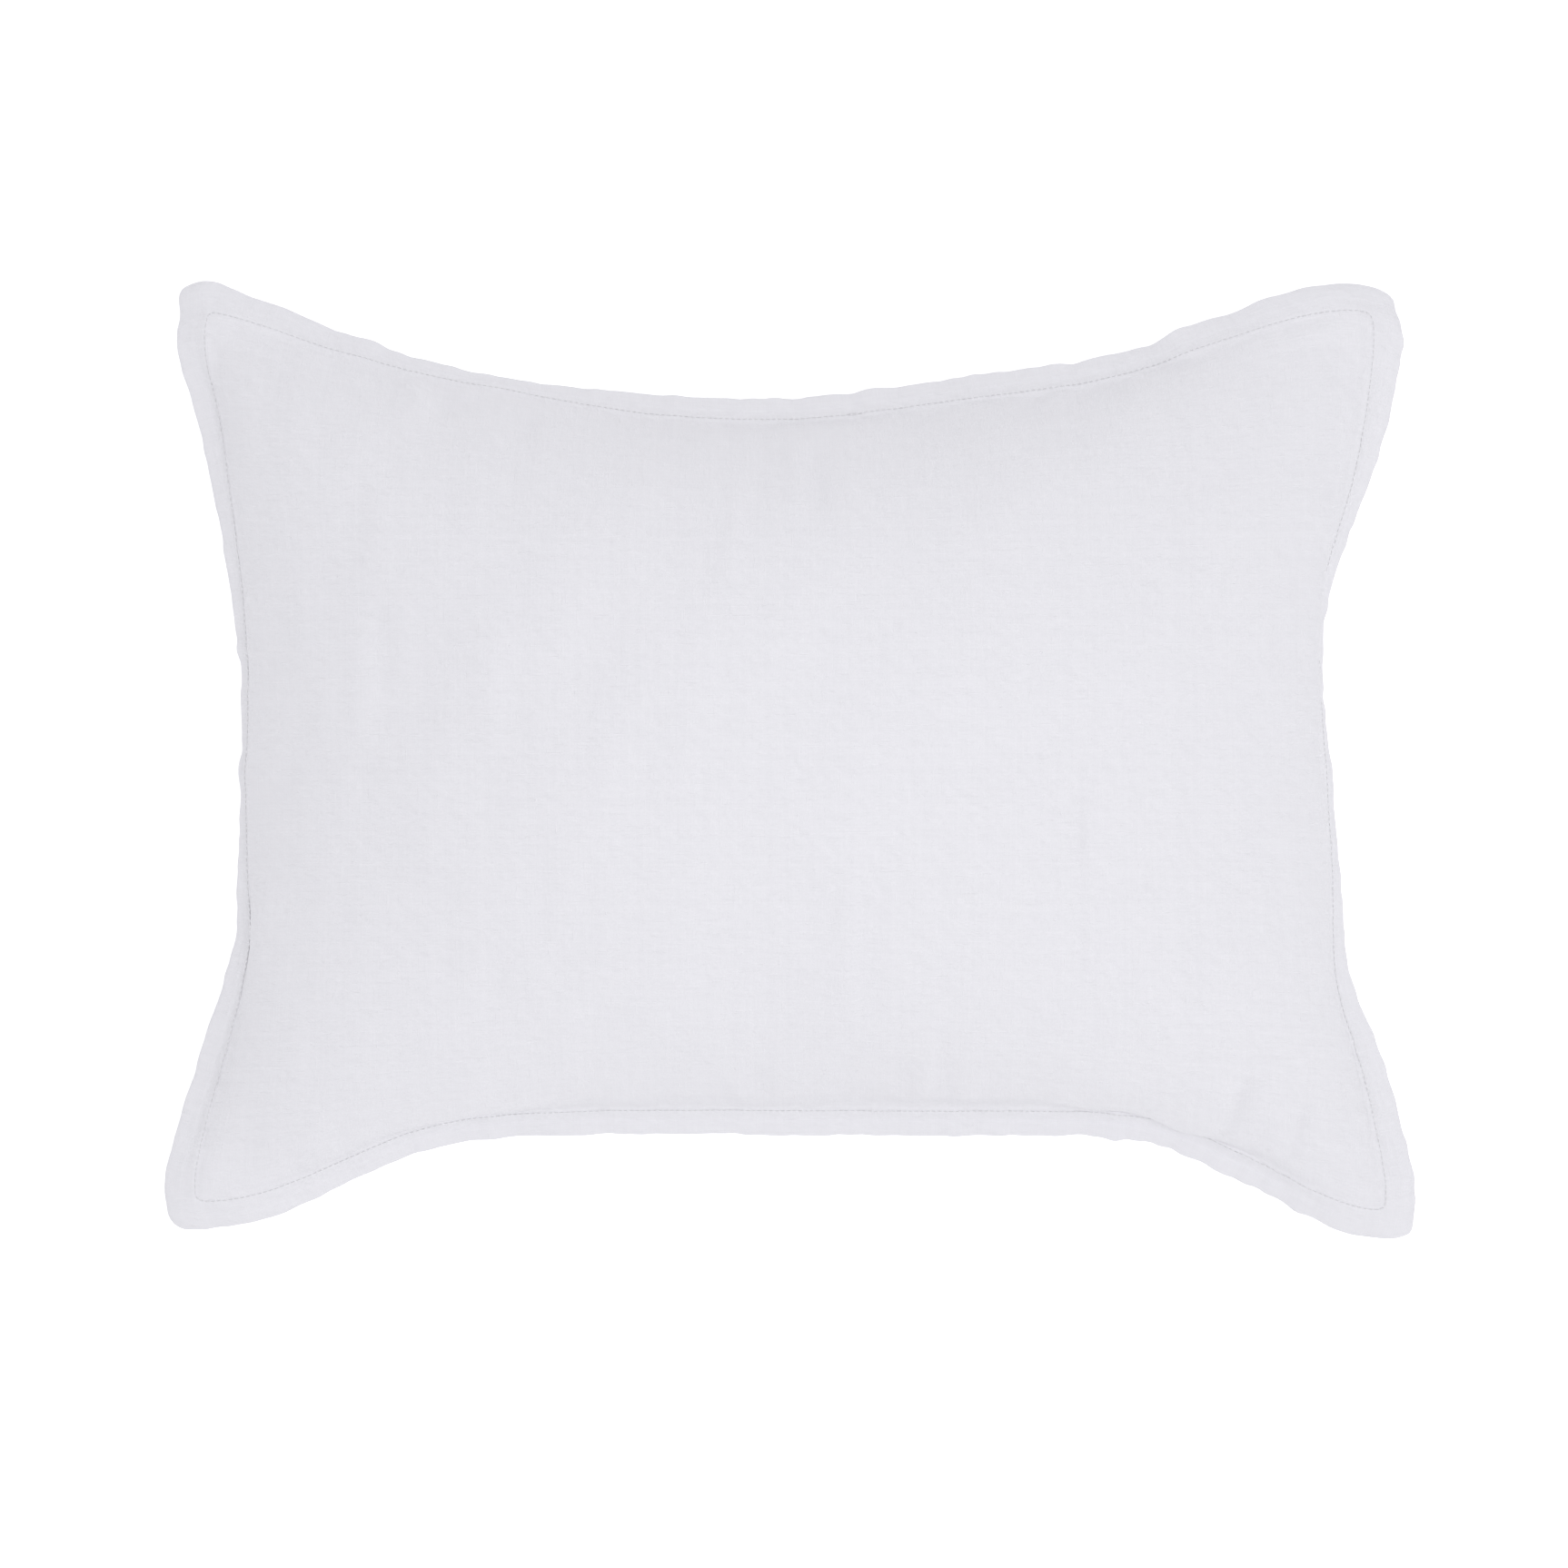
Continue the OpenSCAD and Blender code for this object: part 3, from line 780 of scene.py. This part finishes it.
FLAP_OUTER, FLAP_INNER = round_free_edge(FLAP_OUTER, FLAP_INNER, FLAP_END - FLAP_COLS)
UNDER_OUTER, UNDER_INNER = round_free_edge(UNDER_OUTER, UNDER_INNER, UNDER_COLS - UNDER_START)
flap_piece = closed_sheet("sham_back_flap_cloth", FLAP_OUTER, FLAP_INNER, FLAP_COLS, ROWS)
under_piece = closed_sheet("sham_back_under_cloth", UNDER_OUTER, UNDER_INNER, UNDER_COLS, ROWS)


# ---- stitches ----

STITCH_SIDES = 6
# Rings of points along one stitch: share of its length, thickness and rise in thread radii.
STITCH_RINGS = (
    (0.0, 0.45, -0.9), (0.14, 0.95, 0.25), (0.5, 1.0, 0.75), (0.86, 0.95, 0.25), (1.0, 0.45, -0.9),
)
THREAD = 0.00019  # radius of the flange's thread
SEAM_THREAD = 0.00012
HEM_THREAD = 0.00016
BARTACK_THREAD = 0.00026
TICKING_THREAD = 0.00015
PITCH = 0.003  # length of one stitch with its gap
HEM_PITCH = 0.0028
TICKING_PITCH = 0.0026
SHOWN = 0.84  # share of the pitch that the thread shows


def circle(angle, side, up):
    """Directions round many centres, in the planes of side and up."""
    across, along = np.cos(angle)[None, :, None], np.sin(angle)[None, :, None]
    return across * side[:, None] + along * up[:, None]


def stitch_piece(name, start, end, normal, radius):
    """Separate stitches of thread, each arched from its start to its end out of the cloth."""
    count = len(start)
    along = unit(end - start)
    side = unit(np.cross(normal, along))
    up = np.cross(along, side)
    angle = np.arange(STITCH_SIDES) * 2 * math.pi / STITCH_SIDES
    rings = []
    for share, thick, rise in STITCH_RINGS:
        centre = mix(start, end, share) + up * rise * radius
        rings.append(centre[:, None] + circle(angle, side, up) * radius * thick)
    points = np.stack(rings, axis=1)
    k = STITCH_SIDES
    per = len(STITCH_RINGS) * k
    around = np.arange(k)
    quads = np.concatenate([
        np.stack([around, (around + 1) % k, (around + 1) % k + k, around + k], axis=1) + ring * k
        for ring in range(len(STITCH_RINGS) - 1)
    ])
    first = np.arange(count)[:, None, None] * per
    faces = (quads[None] + first).reshape(-1, 4).tolist()
    faces += (around[None, ::-1] + first[:, 0]).tolist()
    faces += (around[None] + per - k + first[:, 0]).tolist()
    piece = new_mesh(name, points.reshape(-1, 3), faces)
    run = np.zeros((count, len(STITCH_RINGS), k, 3))
    run[..., 0] = (np.arange(count)[:, None] + np.array([r[0] for r in STITCH_RINGS]))[..., None]
    run[..., 1] = around / k
    add_weave(piece, run.reshape(-1, 3))
    return piece


def ring_path(inset, corner, step=0.0005):
    """A rounded rectangle in the pattern, at a distance from the cut edges."""
    half_s, half_t = PANEL_LENGTH / 2 - inset, PANEL_WIDTH / 2 - inset
    points = []
    for sx, sy, turn in ((1, -1, -90), (1, 1, 0), (-1, 1, 90), (-1, -1, 180)):
        for a in range(0, 91, 15):
            angle = math.radians(turn + a)
            points.append((
                PANEL_LENGTH / 2 + sx * (half_s - corner) + corner * math.cos(angle),
                PANEL_WIDTH / 2 + sy * (half_t - corner) + corner * math.sin(angle),
            ))
    points.append(points[0])
    line = np.array(points)
    length = np.linalg.norm(np.diff(line, axis=0), axis=1).sum()
    return even_stretch(line, int(length / step))


def on_face(face, s, t):
    """Points and normals of a face at scattered places of the pattern."""
    points, outward, cols, rows = face
    return at(points, cols, rows, s, t), at(outward, cols, rows, s, t)


def stitches_along(path, face, pitch):
    """Ends and normals of even stitches along a line of the pattern."""
    places, normals = on_face(face, *path.T)
    run = np.concatenate([[0], np.cumsum(np.linalg.norm(np.diff(places, axis=0), axis=1))])
    count = int(run[-1] / pitch)
    first = np.arange(count) * run[-1] / count
    last = first + SHOWN * run[-1] / count

    def on_line(values, where):
        return np.stack([np.interp(where, run, values[:, k]) for k in range(3)], axis=1)

    return on_line(places, first), on_line(places, last), unit(on_line(normals, (first + last) / 2))


def joined(rows_of_stitches):
    """Several rows of stitches as one."""
    return [np.concatenate(part) for part in zip(*rows_of_stitches)]


def sew(name, radius, pitch, *lines):
    """A piece of even stitches along pairs of a path and the face it runs on."""
    return stitch_piece(name, *joined(stitches_along(*line, pitch) for line in lines), radius)


def back_path(path, on_flap):
    """The stretch of a path that lies on the flap, or on the under panel alone."""
    keep = (path[:, 0] <= FLAP_END) == on_flap
    first = int(np.argmax(keep & ~np.roll(keep, 1)))
    return np.roll(path, -first, axis=0)[:keep.sum()]


def hem_path(s):
    """A line across the pillow, parallel to the hems."""
    return even_stretch(np.array([(s, 0.002), (s, PANEL_WIDTH - 0.002)]), 1000)


# A face is its points, its outward normals, and its lines of the pattern.
FRONT_FACE = FRONT_OUTER, FRONT_OUTWARD, COLS, ROWS
SEAM_FACE = FRONT_MID, FRONT_OUTWARD, COLS, ROWS
FLAP_FACE = FLAP_OUTER, FLAP_OUTWARD, FLAP_COLS, ROWS
FLAP_INSIDE = FLAP_INNER, -FLAP_OUTWARD, FLAP_COLS, ROWS
UNDER_FACE = UNDER_OUTER, UNDER_OUTWARD, UNDER_COLS, ROWS
UNDER_INSIDE = UNDER_INNER, -UNDER_OUTWARD, UNDER_COLS, ROWS

TOP_PATH = ring_path(STITCH_LINE, corner=0.003)
SEAM_PATH = ring_path(inset=0.0011, corner=0.002)
HEM_STITCH = HEM - 0.002  # from a hem's fold to its stitching
FLAP_HEM = hem_path(FLAP_END - HEM_STITCH)
UNDER_HEM = hem_path(UNDER_START + HEM_STITCH)
top_stitches = sew("flange_topstitch_thread", THREAD, PITCH, (TOP_PATH, FRONT_FACE))
seam_stitches = sew("edge_seam_thread", SEAM_THREAD, PITCH, (SEAM_PATH, SEAM_FACE))
bobbin_stitches = sew(
    "flange_bobbin_thread", THREAD, PITCH,
    (back_path(TOP_PATH, True), FLAP_FACE), (back_path(TOP_PATH, False), UNDER_FACE),
)
flap_hem_stitches = sew(
    "flap_hem_thread", HEM_THREAD, HEM_PITCH, (FLAP_HEM, FLAP_FACE), (FLAP_HEM, FLAP_INSIDE),
)
under_hem_stitches = sew(
    "under_hem_thread", HEM_THREAD, HEM_PITCH, (UNDER_HEM, UNDER_FACE), (UNDER_HEM, UNDER_INSIDE),
)

BARTACK_TURNS = 23
BARTACK_START, BARTACK_END = 0.006, 0.0155  # from the flange's edge


def bartack(t_start, t_end):
    """Dense zigzag stitches across the flap's edge."""
    t = np.linspace(t_start, t_end, BARTACK_TURNS)
    s = FLAP_END - 0.0022 + 0.0018 * (np.arange(BARTACK_TURNS) % 2)
    places, normals = on_face(FLAP_FACE, s, t)
    return places[:-1], places[1:], unit(normals[:-1])


bartacks = stitch_piece(
    "opening_bartack_thread",
    *joined([
        bartack(BARTACK_START, BARTACK_END),
        bartack(PANEL_WIDTH - BARTACK_END, PANEL_WIDTH - BARTACK_START),
    ]), BARTACK_THREAD,
)


# ---- insert ----

INSERT_INSET = FLANGE + 0.032  # from the panel's cut edge to the insert's seam
TICKING = 0.0004  # thickness of the ticking
TICKING_CLEAR = 0.0012  # between the sham and the ticking
FILL_CLEAR = 0.0022  # between the sham and the highest of the fill
LUMP_DEPTH = 0.003
SWELL_RADIUS = 0.022  # of the insert's rounded side
INSERT_MARKS = [INSERT_INSET + m for m in (
    0, 0.0002, 0.0006, 0.0012, 0.002, 0.0031, 0.0045, 0.0062, 0.0082, 0.0105, 0.0132, 0.0164, 0.020, 0.024,
)]


INSERT_COLS = fill_gaps(both_ends(INSERT_MARKS, PANEL_LENGTH))
INSERT_ROWS = fill_gaps(both_ends(INSERT_MARKS, PANEL_WIDTH))


def swell(extra):
    """Share of the space between front and back that the insert takes up: none at its seam."""
    def across(lines, length):
        return rounding(np.minimum(lines, length - lines) - INSERT_INSET - extra, SWELL_RADIUS)

    full = across(INSERT_COLS, PANEL_LENGTH)[None, :] * across(INSERT_ROWS, PANEL_WIDTH)[:, None]
    return np.maximum(full, 0.004)


def insert_faces(clear_top, clear_low, extra=0.0):
    """Top and bottom surfaces inside the sham, at the given distances from its cloth."""
    front, back, up, down = middles(INSERT_COLS, INSERT_ROWS)
    depths = back_depths(INSERT_COLS, INSERT_ROWS)
    back[..., 2] += back_lift(INSERT_COLS, back, down, depths[0], depths[2])
    front = front - up * (CLOTH + clear_top)[..., None]
    back = back + down * (np.minimum(depths[1], depths[3]) - clear_low)[..., None]
    middle = (front + back) / 2
    share = swell(extra)[..., None]
    return mix(middle, front, share), mix(middle, back, share), middle


clear_out = np.full((len(INSERT_ROWS), len(INSERT_COLS)), TICKING_CLEAR)
clear_in = clear_out + TICKING
TICK_TOP, TICK_LOW, TICK_MID = insert_faces(clear_out, clear_out)
tick_top_in, tick_low_in, _ = insert_faces(clear_in, clear_in, 0.0001)
TOP_FACE = TICK_TOP, area_unit(TICK_TOP), INSERT_COLS, INSERT_ROWS
LOW_FACE = TICK_LOW, -area_unit(TICK_LOW), INSERT_COLS, INSERT_ROWS
ticking_top = closed_sheet("ticking_top_cloth", TICK_TOP, tick_top_in, INSERT_COLS, INSERT_ROWS)
ticking_bottom = closed_sheet("ticking_bottom_cloth", TICK_LOW, tick_low_in, INSERT_COLS, INSERT_ROWS)

big_lumps = clouds(INSERT_COLS, INSERT_ROWS, 0.018, 0.018, 500)
small_lumps = 0.6 * clouds(INSERT_COLS, INSERT_ROWS, 0.007, 0.007, 501)
hollows = FILL_CLEAR + LUMP_DEPTH * (0.5 + 0.5 * np.tanh(big_lumps + small_lumps))
fill_top, fill_low, _ = insert_faces(hollows, hollows[:, ::-1], 0.0012)
fill_piece = closed_sheet("polyester_fill", fill_top, fill_low, INSERT_COLS, INSERT_ROWS)


def loop_tube(name, centres, side, up, radius, sides):
    """A closed round tube along a loop of points."""
    count = len(centres)
    angle = np.arange(sides) * 2 * math.pi / sides
    points = centres[:, None] + radius * circle(angle, side, up)
    i, j = np.mgrid[0:count, 0:sides]
    a, b = i * sides + j, i * sides + (j + 1) % sides
    after = (a + sides) % (count * sides), (b + sides) % (count * sides)
    faces = np.stack([a, after[0], after[1], b], axis=2).reshape(-1, 4)
    piece = new_mesh(name, points.reshape(-1, 3), faces.tolist())
    run = np.concatenate([[0], np.cumsum(np.linalg.norm(np.diff(centres, axis=0), axis=1))])
    flat = np.zeros((count, sides, 3))
    flat[..., 0], flat[..., 1] = run[:, None], angle * radius
    add_weave(piece, flat.reshape(-1, 3))
    return piece


PIPING_RADIUS = 0.002
PIPING_SIDES = 10
PIPING_OUT = PIPING_RADIUS + 0.0006  # from the insert's seam to the cord's middle
piping_line = ring_path(INSERT_INSET, corner=0.008, step=0.003)[:-1]
piping_at = at(TICK_MID, INSERT_COLS, INSERT_ROWS, *piping_line.T)
piping_along = unit(np.roll(piping_at, -1, axis=0) - np.roll(piping_at, 1, axis=0))
piping_side = unit(np.cross(piping_along, (0, 0, 1)))
piping_up = np.cross(piping_side, piping_along)
piping = loop_tube(
    "ticking_piping_cord", piping_at + piping_side * PIPING_OUT, piping_side, piping_up,
    PIPING_RADIUS, PIPING_SIDES,
)
ticking_seam = ring_path(INSERT_INSET + 0.0016, corner=0.006)
ticking_stitches = sew(
    "ticking_seam_thread", TICKING_THREAD, TICKING_PITCH,
    (ticking_seam, TOP_FACE), (ticking_seam, LOW_FACE),
)


# ---- labels ----

LABEL = 0.0002  # thickness of a label
CARE_SIZE, INSERT_LABEL_SIZE = (0.018, 0.040), (0.026, 0.032)
INSERT_LABEL_SPAN = (0.026, 0.006)  # in from the insert's seam; 26 mm long over the rise there


def label_piece(name, face, node, s_start, s_end, size, cells, clear):
    """A small woven label on a face, level with its CAD node across the pillow."""
    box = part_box(node)
    t_middle = PANEL_WIDTH / 2 + (box[0][1] + box[1][1]) / 2
    s_lines = np.linspace(s_start, s_end, cells[0] + 1)
    t_lines = np.linspace(t_middle - size[1] / 2, t_middle + size[1] / 2, cells[1] + 1)
    s, t = np.meshgrid(s_lines, t_lines)
    places, normals = (x.reshape(s.shape + (3,)) for x in on_face(face, s.ravel(), t.ravel()))
    normals = unit(normals)
    wave = clear + 0.0002 * np.sin(s / 0.004 + t / 0.009)[..., None]
    low = places + normals * wave
    return closed_sheet(name, low + normals * LABEL, low, s_lines - s_lines[0], t_lines - t_lines[0])


care_label = label_piece(
    "care_label_tape", (BACK_MID, -BACK_OUTWARD, COLS, ROWS), "care_label",
    STITCH_LINE, STITCH_LINE + CARE_SIZE[0], CARE_SIZE, (24, 40), 0.0005,
)
insert_label = label_piece(
    "insert_label_tape", TOP_FACE, "insert_label",
    *(PANEL_LENGTH - INSERT_INSET - m for m in INSERT_LABEL_SPAN), INSERT_LABEL_SIZE, (30, 32), 0.0003,
)


# ---- materials ----

class Nodes:
    """A material's node tree with short ways to add nodes to it."""

    def __init__(self, name, colour, roughness, sheen):
        self.material = bpy.data.materials.new(name)
        self.material.use_nodes = True
        self.tree = self.material.node_tree
        self.shader = self.tree.nodes["Principled BSDF"]
        self.shader.inputs["Base Color"].default_value = (*colour, 1)
        self.shader.inputs["Roughness"].default_value = roughness
        self.shader.inputs["Sheen Weight"].default_value = sheen
        self.shader.inputs["Sheen Roughness"].default_value = 0.6
        self.shader.inputs["Specular IOR Level"].default_value = 0.12

    def set(self, socket, value):
        if isinstance(value, bpy.types.NodeSocket):
            self.tree.links.new(value, socket)
        else:
            socket.default_value = value

    def node(self, kind, *values, **settings):
        """The first output of a new node, whose first inputs get the values."""
        node = self.tree.nodes.new("ShaderNode" + kind)
        for name, value in settings.items():
            setattr(node, name, value)
        for socket, value in zip(node.inputs, values):
            self.set(socket, value)
        return node.outputs[0]

    def math(self, operation, *values):
        return self.node("Math", *values, operation=operation)

    def add(self, a, b):
        return self.math("ADD", a, b)

    def minus(self, a, b):
        return self.math("SUBTRACT", a, b)

    def times(self, a, b):
        return self.math("MULTIPLY", a, b)

    def weighted(self, *parts):
        """Sum of pairs of a value and its weight."""
        total = self.times(*parts[0])
        for part in parts[1:]:
            total = self.add(total, self.times(*part))
        return total

    def pattern(self):
        """The two coordinates of the flat cloth, in metres."""
        place_in = self.tree.nodes.new("ShaderNodeAttribute")
        place_in.attribute_name = "weave"
        parts = self.tree.nodes.new("ShaderNodeSeparateXYZ")
        self.set(parts.inputs[0], place_in.outputs["Vector"])
        return parts.outputs[0], parts.outputs[1]

    def noise(self, s, t, per_s, per_t, detail=1.0, shift=0.0):
        """Noise with its own number of features per metre along each direction, from 0 to 1."""
        place_in = self.node("CombineXYZ", self.times(s, per_s), self.times(t, per_t), shift)
        return self.node("TexNoise", place_in, 0.0, 1.0, detail)

    def span(self, value, low, high, to_low=0.0, to_high=1.0):
        return self.node("MapRange", value, low, high, to_low, to_high)

    def yarn_shade(self, index):
        """A random value for each yarn."""
        return self.node("TexWhiteNoise", (0, 0, 0), index, noise_dimensions="1D")

    def colour(self, factor, dark, light):
        node = self.tree.nodes.new("ShaderNodeMix")
        node.data_type = "RGBA"
        self.set(node.inputs[0], factor)
        self.set(node.inputs[6], (*dark, 1))
        self.set(node.inputs[7], (*light, 1))
        self.set(self.shader.inputs["Base Color"], node.outputs[2])

    def relief(self, height, depth, strength=1.0):
        node = self.tree.nodes.new("ShaderNodeBump")
        self.set(node.inputs["Height"], height)
        self.set(node.inputs["Distance"], depth)
        self.set(node.inputs["Strength"], strength)
        self.set(self.shader.inputs["Normal"], node.outputs[0])


def weave_height(n, s, t, pitch):
    """Height of a plain weave, and the number of the yarn in each direction."""
    u, v = n.math("DIVIDE", s, pitch), n.math("DIVIDE", t, pitch)
    warp, weft = n.math("FLOOR", u), n.math("FLOOR", v)
    heights = []
    for across, along, number, turn in ((u, v, warp, 0.0), (v, u, weft, math.pi)):
        ridge = n.math("ABSOLUTE", n.math("SINE", n.times(across, math.pi)))
        phase = n.add(n.times(n.add(along, number), math.pi), turn)
        over = n.math("MULTIPLY_ADD", n.math("SINE", phase), 0.5, 0.5)
        heights.append(n.times(ridge, over))
    return n.math("MAXIMUM", heights[0], heights[1]), warp, weft


def sham_cloth_look():
    n = Nodes("sham_cloth_look", (0.80, 0.795, 0.83), 0.88, 0.03)
    s, t = n.pattern()
    sway = n.times(n.minus(n.noise(s, t, 130, 130), 0.5), 0.0016)
    weave, warp, weft = weave_height(n, n.add(s, sway), n.add(t, sway), 0.00056)
    warp_slub = n.span(n.noise(s, t, 1150, 75, 2.0, 1.7), 0.56, 0.80)
    weft_slub = n.span(n.noise(s, t, 70, 1100, 2.0, 5.2), 0.54, 0.78)
    nep = n.span(n.noise(s, t, 520, 480, 0.0, 9.1), 0.80, 0.88)
    yarns = n.add(n.yarn_shade(warp), n.yarn_shade(weft))
    mottle = n.noise(s, t, 55, 70, 3.0, 3.3)
    # Painted shade: the weave's height lightens the yarns' crests and darkens the hollows between them in
    # this colour. Slubs, neps, yarns and mottle are the cloth's own tone.
    shade = n.weighted(
        (warp_slub, 0.17), (weft_slub, 0.20), (nep, 0.4), (yarns, 0.13), (mottle, 0.25), (weave, 0.3),
    )
    n.colour(n.span(shade, 0.1, 1.1), (0.762, 0.757, 0.797), (0.838, 0.832, 0.870))
    n.set(n.shader.inputs["Roughness"], n.span(weave, 0, 1, 0.94, 0.82))
    n.relief(
        n.weighted((weave, 0.75), (warp_slub, 0.5), (weft_slub, 0.6), (nep, 0.9)), depth=0.00016,
    )
    return n.material


def thread_look():
    n = Nodes("sewing_thread_look", (0.83, 0.83, 0.85), 0.6, 0.3)
    s, t = n.pattern()
    ply = n.math("SINE", n.times(n.add(n.times(s, 4.0), t), 2 * math.pi * 2))
    fuzz = n.noise(s, t, 40, 9, 3.0)
    # Painted shade: the ply's twist darkens the grooves between the plies in this colour; the fuzz is the
    # thread's own tone.
    n.colour(n.span(n.add(ply, fuzz), -1, 2), (0.74, 0.74, 0.77), (0.88, 0.88, 0.90))
    n.relief(n.add(ply, fuzz), 0.00006)
    return n.material


def ticking_look():
    n = Nodes("ticking_cloth_look", (0.83, 0.83, 0.81), 0.8, 0.08)
    s, t = n.pattern()
    weave, warp, weft = weave_height(n, s, t, 0.00034)
    twill = n.math("SINE", n.times(n.add(s, t), 2 * math.pi / 0.0011))
    yarns = n.add(n.yarn_shade(warp), n.yarn_shade(weft))
    mottle = n.noise(s, t, 90, 90, 3.0)
    # Painted shade: the twill's share lightens its diagonal ridges and darkens the hollows in this colour.
    # Yarns and mottle are the cloth's own tone.
    shade = n.weighted((yarns, 0.2), (mottle, 0.6), (twill, 0.08))
    n.colour(n.span(shade, 0.1, 0.9), (0.79, 0.79, 0.765), (0.86, 0.86, 0.84))
    n.relief(n.add(weave, n.times(twill, 0.3)), 0.0001)
    return n.material


def fibre_look():
    n = Nodes("fibre_fill_look", (0.86, 0.86, 0.86), 0.7, 0.6)
    s, t = n.pattern()
    bend = n.times(n.minus(n.noise(s, t, 160, 160, 2.0), 0.5), 0.02)
    strands = n.noise(n.add(s, bend), n.minus(t, bend), 2400, 260, 4.0)
    crossing = n.noise(n.minus(s, bend), n.add(t, bend), 240, 2200, 4.0, 4.4)
    fibres = n.math("MAXIMUM", strands, crossing)
    n.colour(n.span(fibres, 0.4, 0.75), (0.76, 0.76, 0.76), (0.90, 0.90, 0.90))
    n.relief(fibres, 0.0007)
    return n.material


def label_look():
    n = Nodes("label_tape_look", (0.84, 0.84, 0.82), 0.45, 0.1)
    s, t = n.pattern()
    rib = n.math("SINE", n.times(t, 2 * math.pi / 0.0004))
    float_yarn = n.noise(s, t, 300, 4000, 2.0)
    n.colour(n.span(float_yarn, 0.3, 0.7), (0.81, 0.81, 0.79), (0.87, 0.87, 0.85))
    n.relief(n.add(n.times(rib, 0.4), float_yarn), 0.00005)
    return n.material


LOOKS = {
    "sham_cloth": sham_cloth_look(),
    "sewing_thread": thread_look(),
    "ticking_cloth": ticking_look(),
    "fibre_fill": fibre_look(),
    "label_tape": label_look(),
}

# ---- pieces and the frame ----

for piece, node, slot in (
    (front_piece, "sham_front", "sham_cloth"),
    (flap_piece, "sham_back_flap", "sham_cloth"),
    (under_piece, "sham_back_under", "sham_cloth"),
    (top_stitches, "flange_topstitch", "sewing_thread"),
    (bobbin_stitches, "flange_bobbin_stitch", "sewing_thread"),
    (seam_stitches, "edge_seam_stitch", "sewing_thread"),
    (flap_hem_stitches, "flap_hem_stitch", "sewing_thread"),
    (under_hem_stitches, "under_hem_stitch", "sewing_thread"),
    (bartacks, "opening_bartacks", "sewing_thread"),
    (care_label, "care_label", "label_tape"),
    (ticking_top, "ticking_top", "ticking_cloth"),
    (ticking_bottom, "ticking_bottom", "ticking_cloth"),
    (piping, "ticking_piping", "ticking_cloth"),
    (ticking_stitches, "ticking_seam_stitch", "sewing_thread"),
    (fill_piece, "fill", "fibre_fill"),
    (insert_label, "insert_label", "label_tape"),
):
    piece.data.materials.append(LOOKS[slot])
    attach(piece, "root")
    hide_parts(node)


# ---- stage ----

floor_mesh = bpy.data.meshes.new("floor")
floor_mesh.from_pydata([(-9, -9, 0), (9, -9, 0), (9, 9, 0), (-9, 9, 0)], [], [(0, 1, 2, 3)])
floor = bpy.data.objects.new("floor", floor_mesh)
bpy.context.scene.collection.objects.link(floor)
floor_look = bpy.data.materials.new("floor_look")
floor_look.use_nodes = True
floor_shader = floor_look.node_tree.nodes["Principled BSDF"]
floor_shader.inputs["Base Color"].default_value = (0.93, 0.93, 0.93, 1)
floor_shader.inputs["Roughness"].default_value = 0.9
floor_shader.inputs["Emission Color"].default_value = (1, 1, 1, 1)
floor_shader.inputs["Emission Strength"].default_value = 0.41
floor.data.materials.append(floor_look)

SEAM_PLANE = seam_box[1][2]
VIEW_WIDTH = 0.813  # width of the view at the height of the stitch line
CAMERA_ABOVE = 2.2
AIM = (-0.0033, -0.0118)
camera_data = bpy.data.cameras.new("camera")
camera = bpy.data.objects.new("camera", camera_data)
bpy.context.scene.collection.objects.link(camera)
camera.location = (AIM[0], AIM[1], SEAM_PLANE + CAMERA_ABOVE)
camera_data.lens = camera_data.sensor_width * CAMERA_ABOVE / VIEW_WIDTH
bpy.context.scene.camera = camera


key_data = bpy.data.lights.new("key", "AREA")
key_data.shape = "DISK"
key_data.size = 0.9
key_data.energy = 29
key = bpy.data.objects.new("key", key_data)
key.location = (0.34, -0.24, 2.9)
key.rotation_euler = (Vector((0, 0, 0.1)) - key.location).to_track_quat("-Z", "Y").to_euler()
bpy.context.scene.collection.objects.link(key)
world = bpy.data.worlds.new("world")
world.use_nodes = True
world.node_tree.nodes["Background"].inputs["Color"].default_value = (0.727, 0.727, 0.732, 1)
bpy.context.scene.world = world
bpy.context.scene.view_settings.view_transform = "Standard"
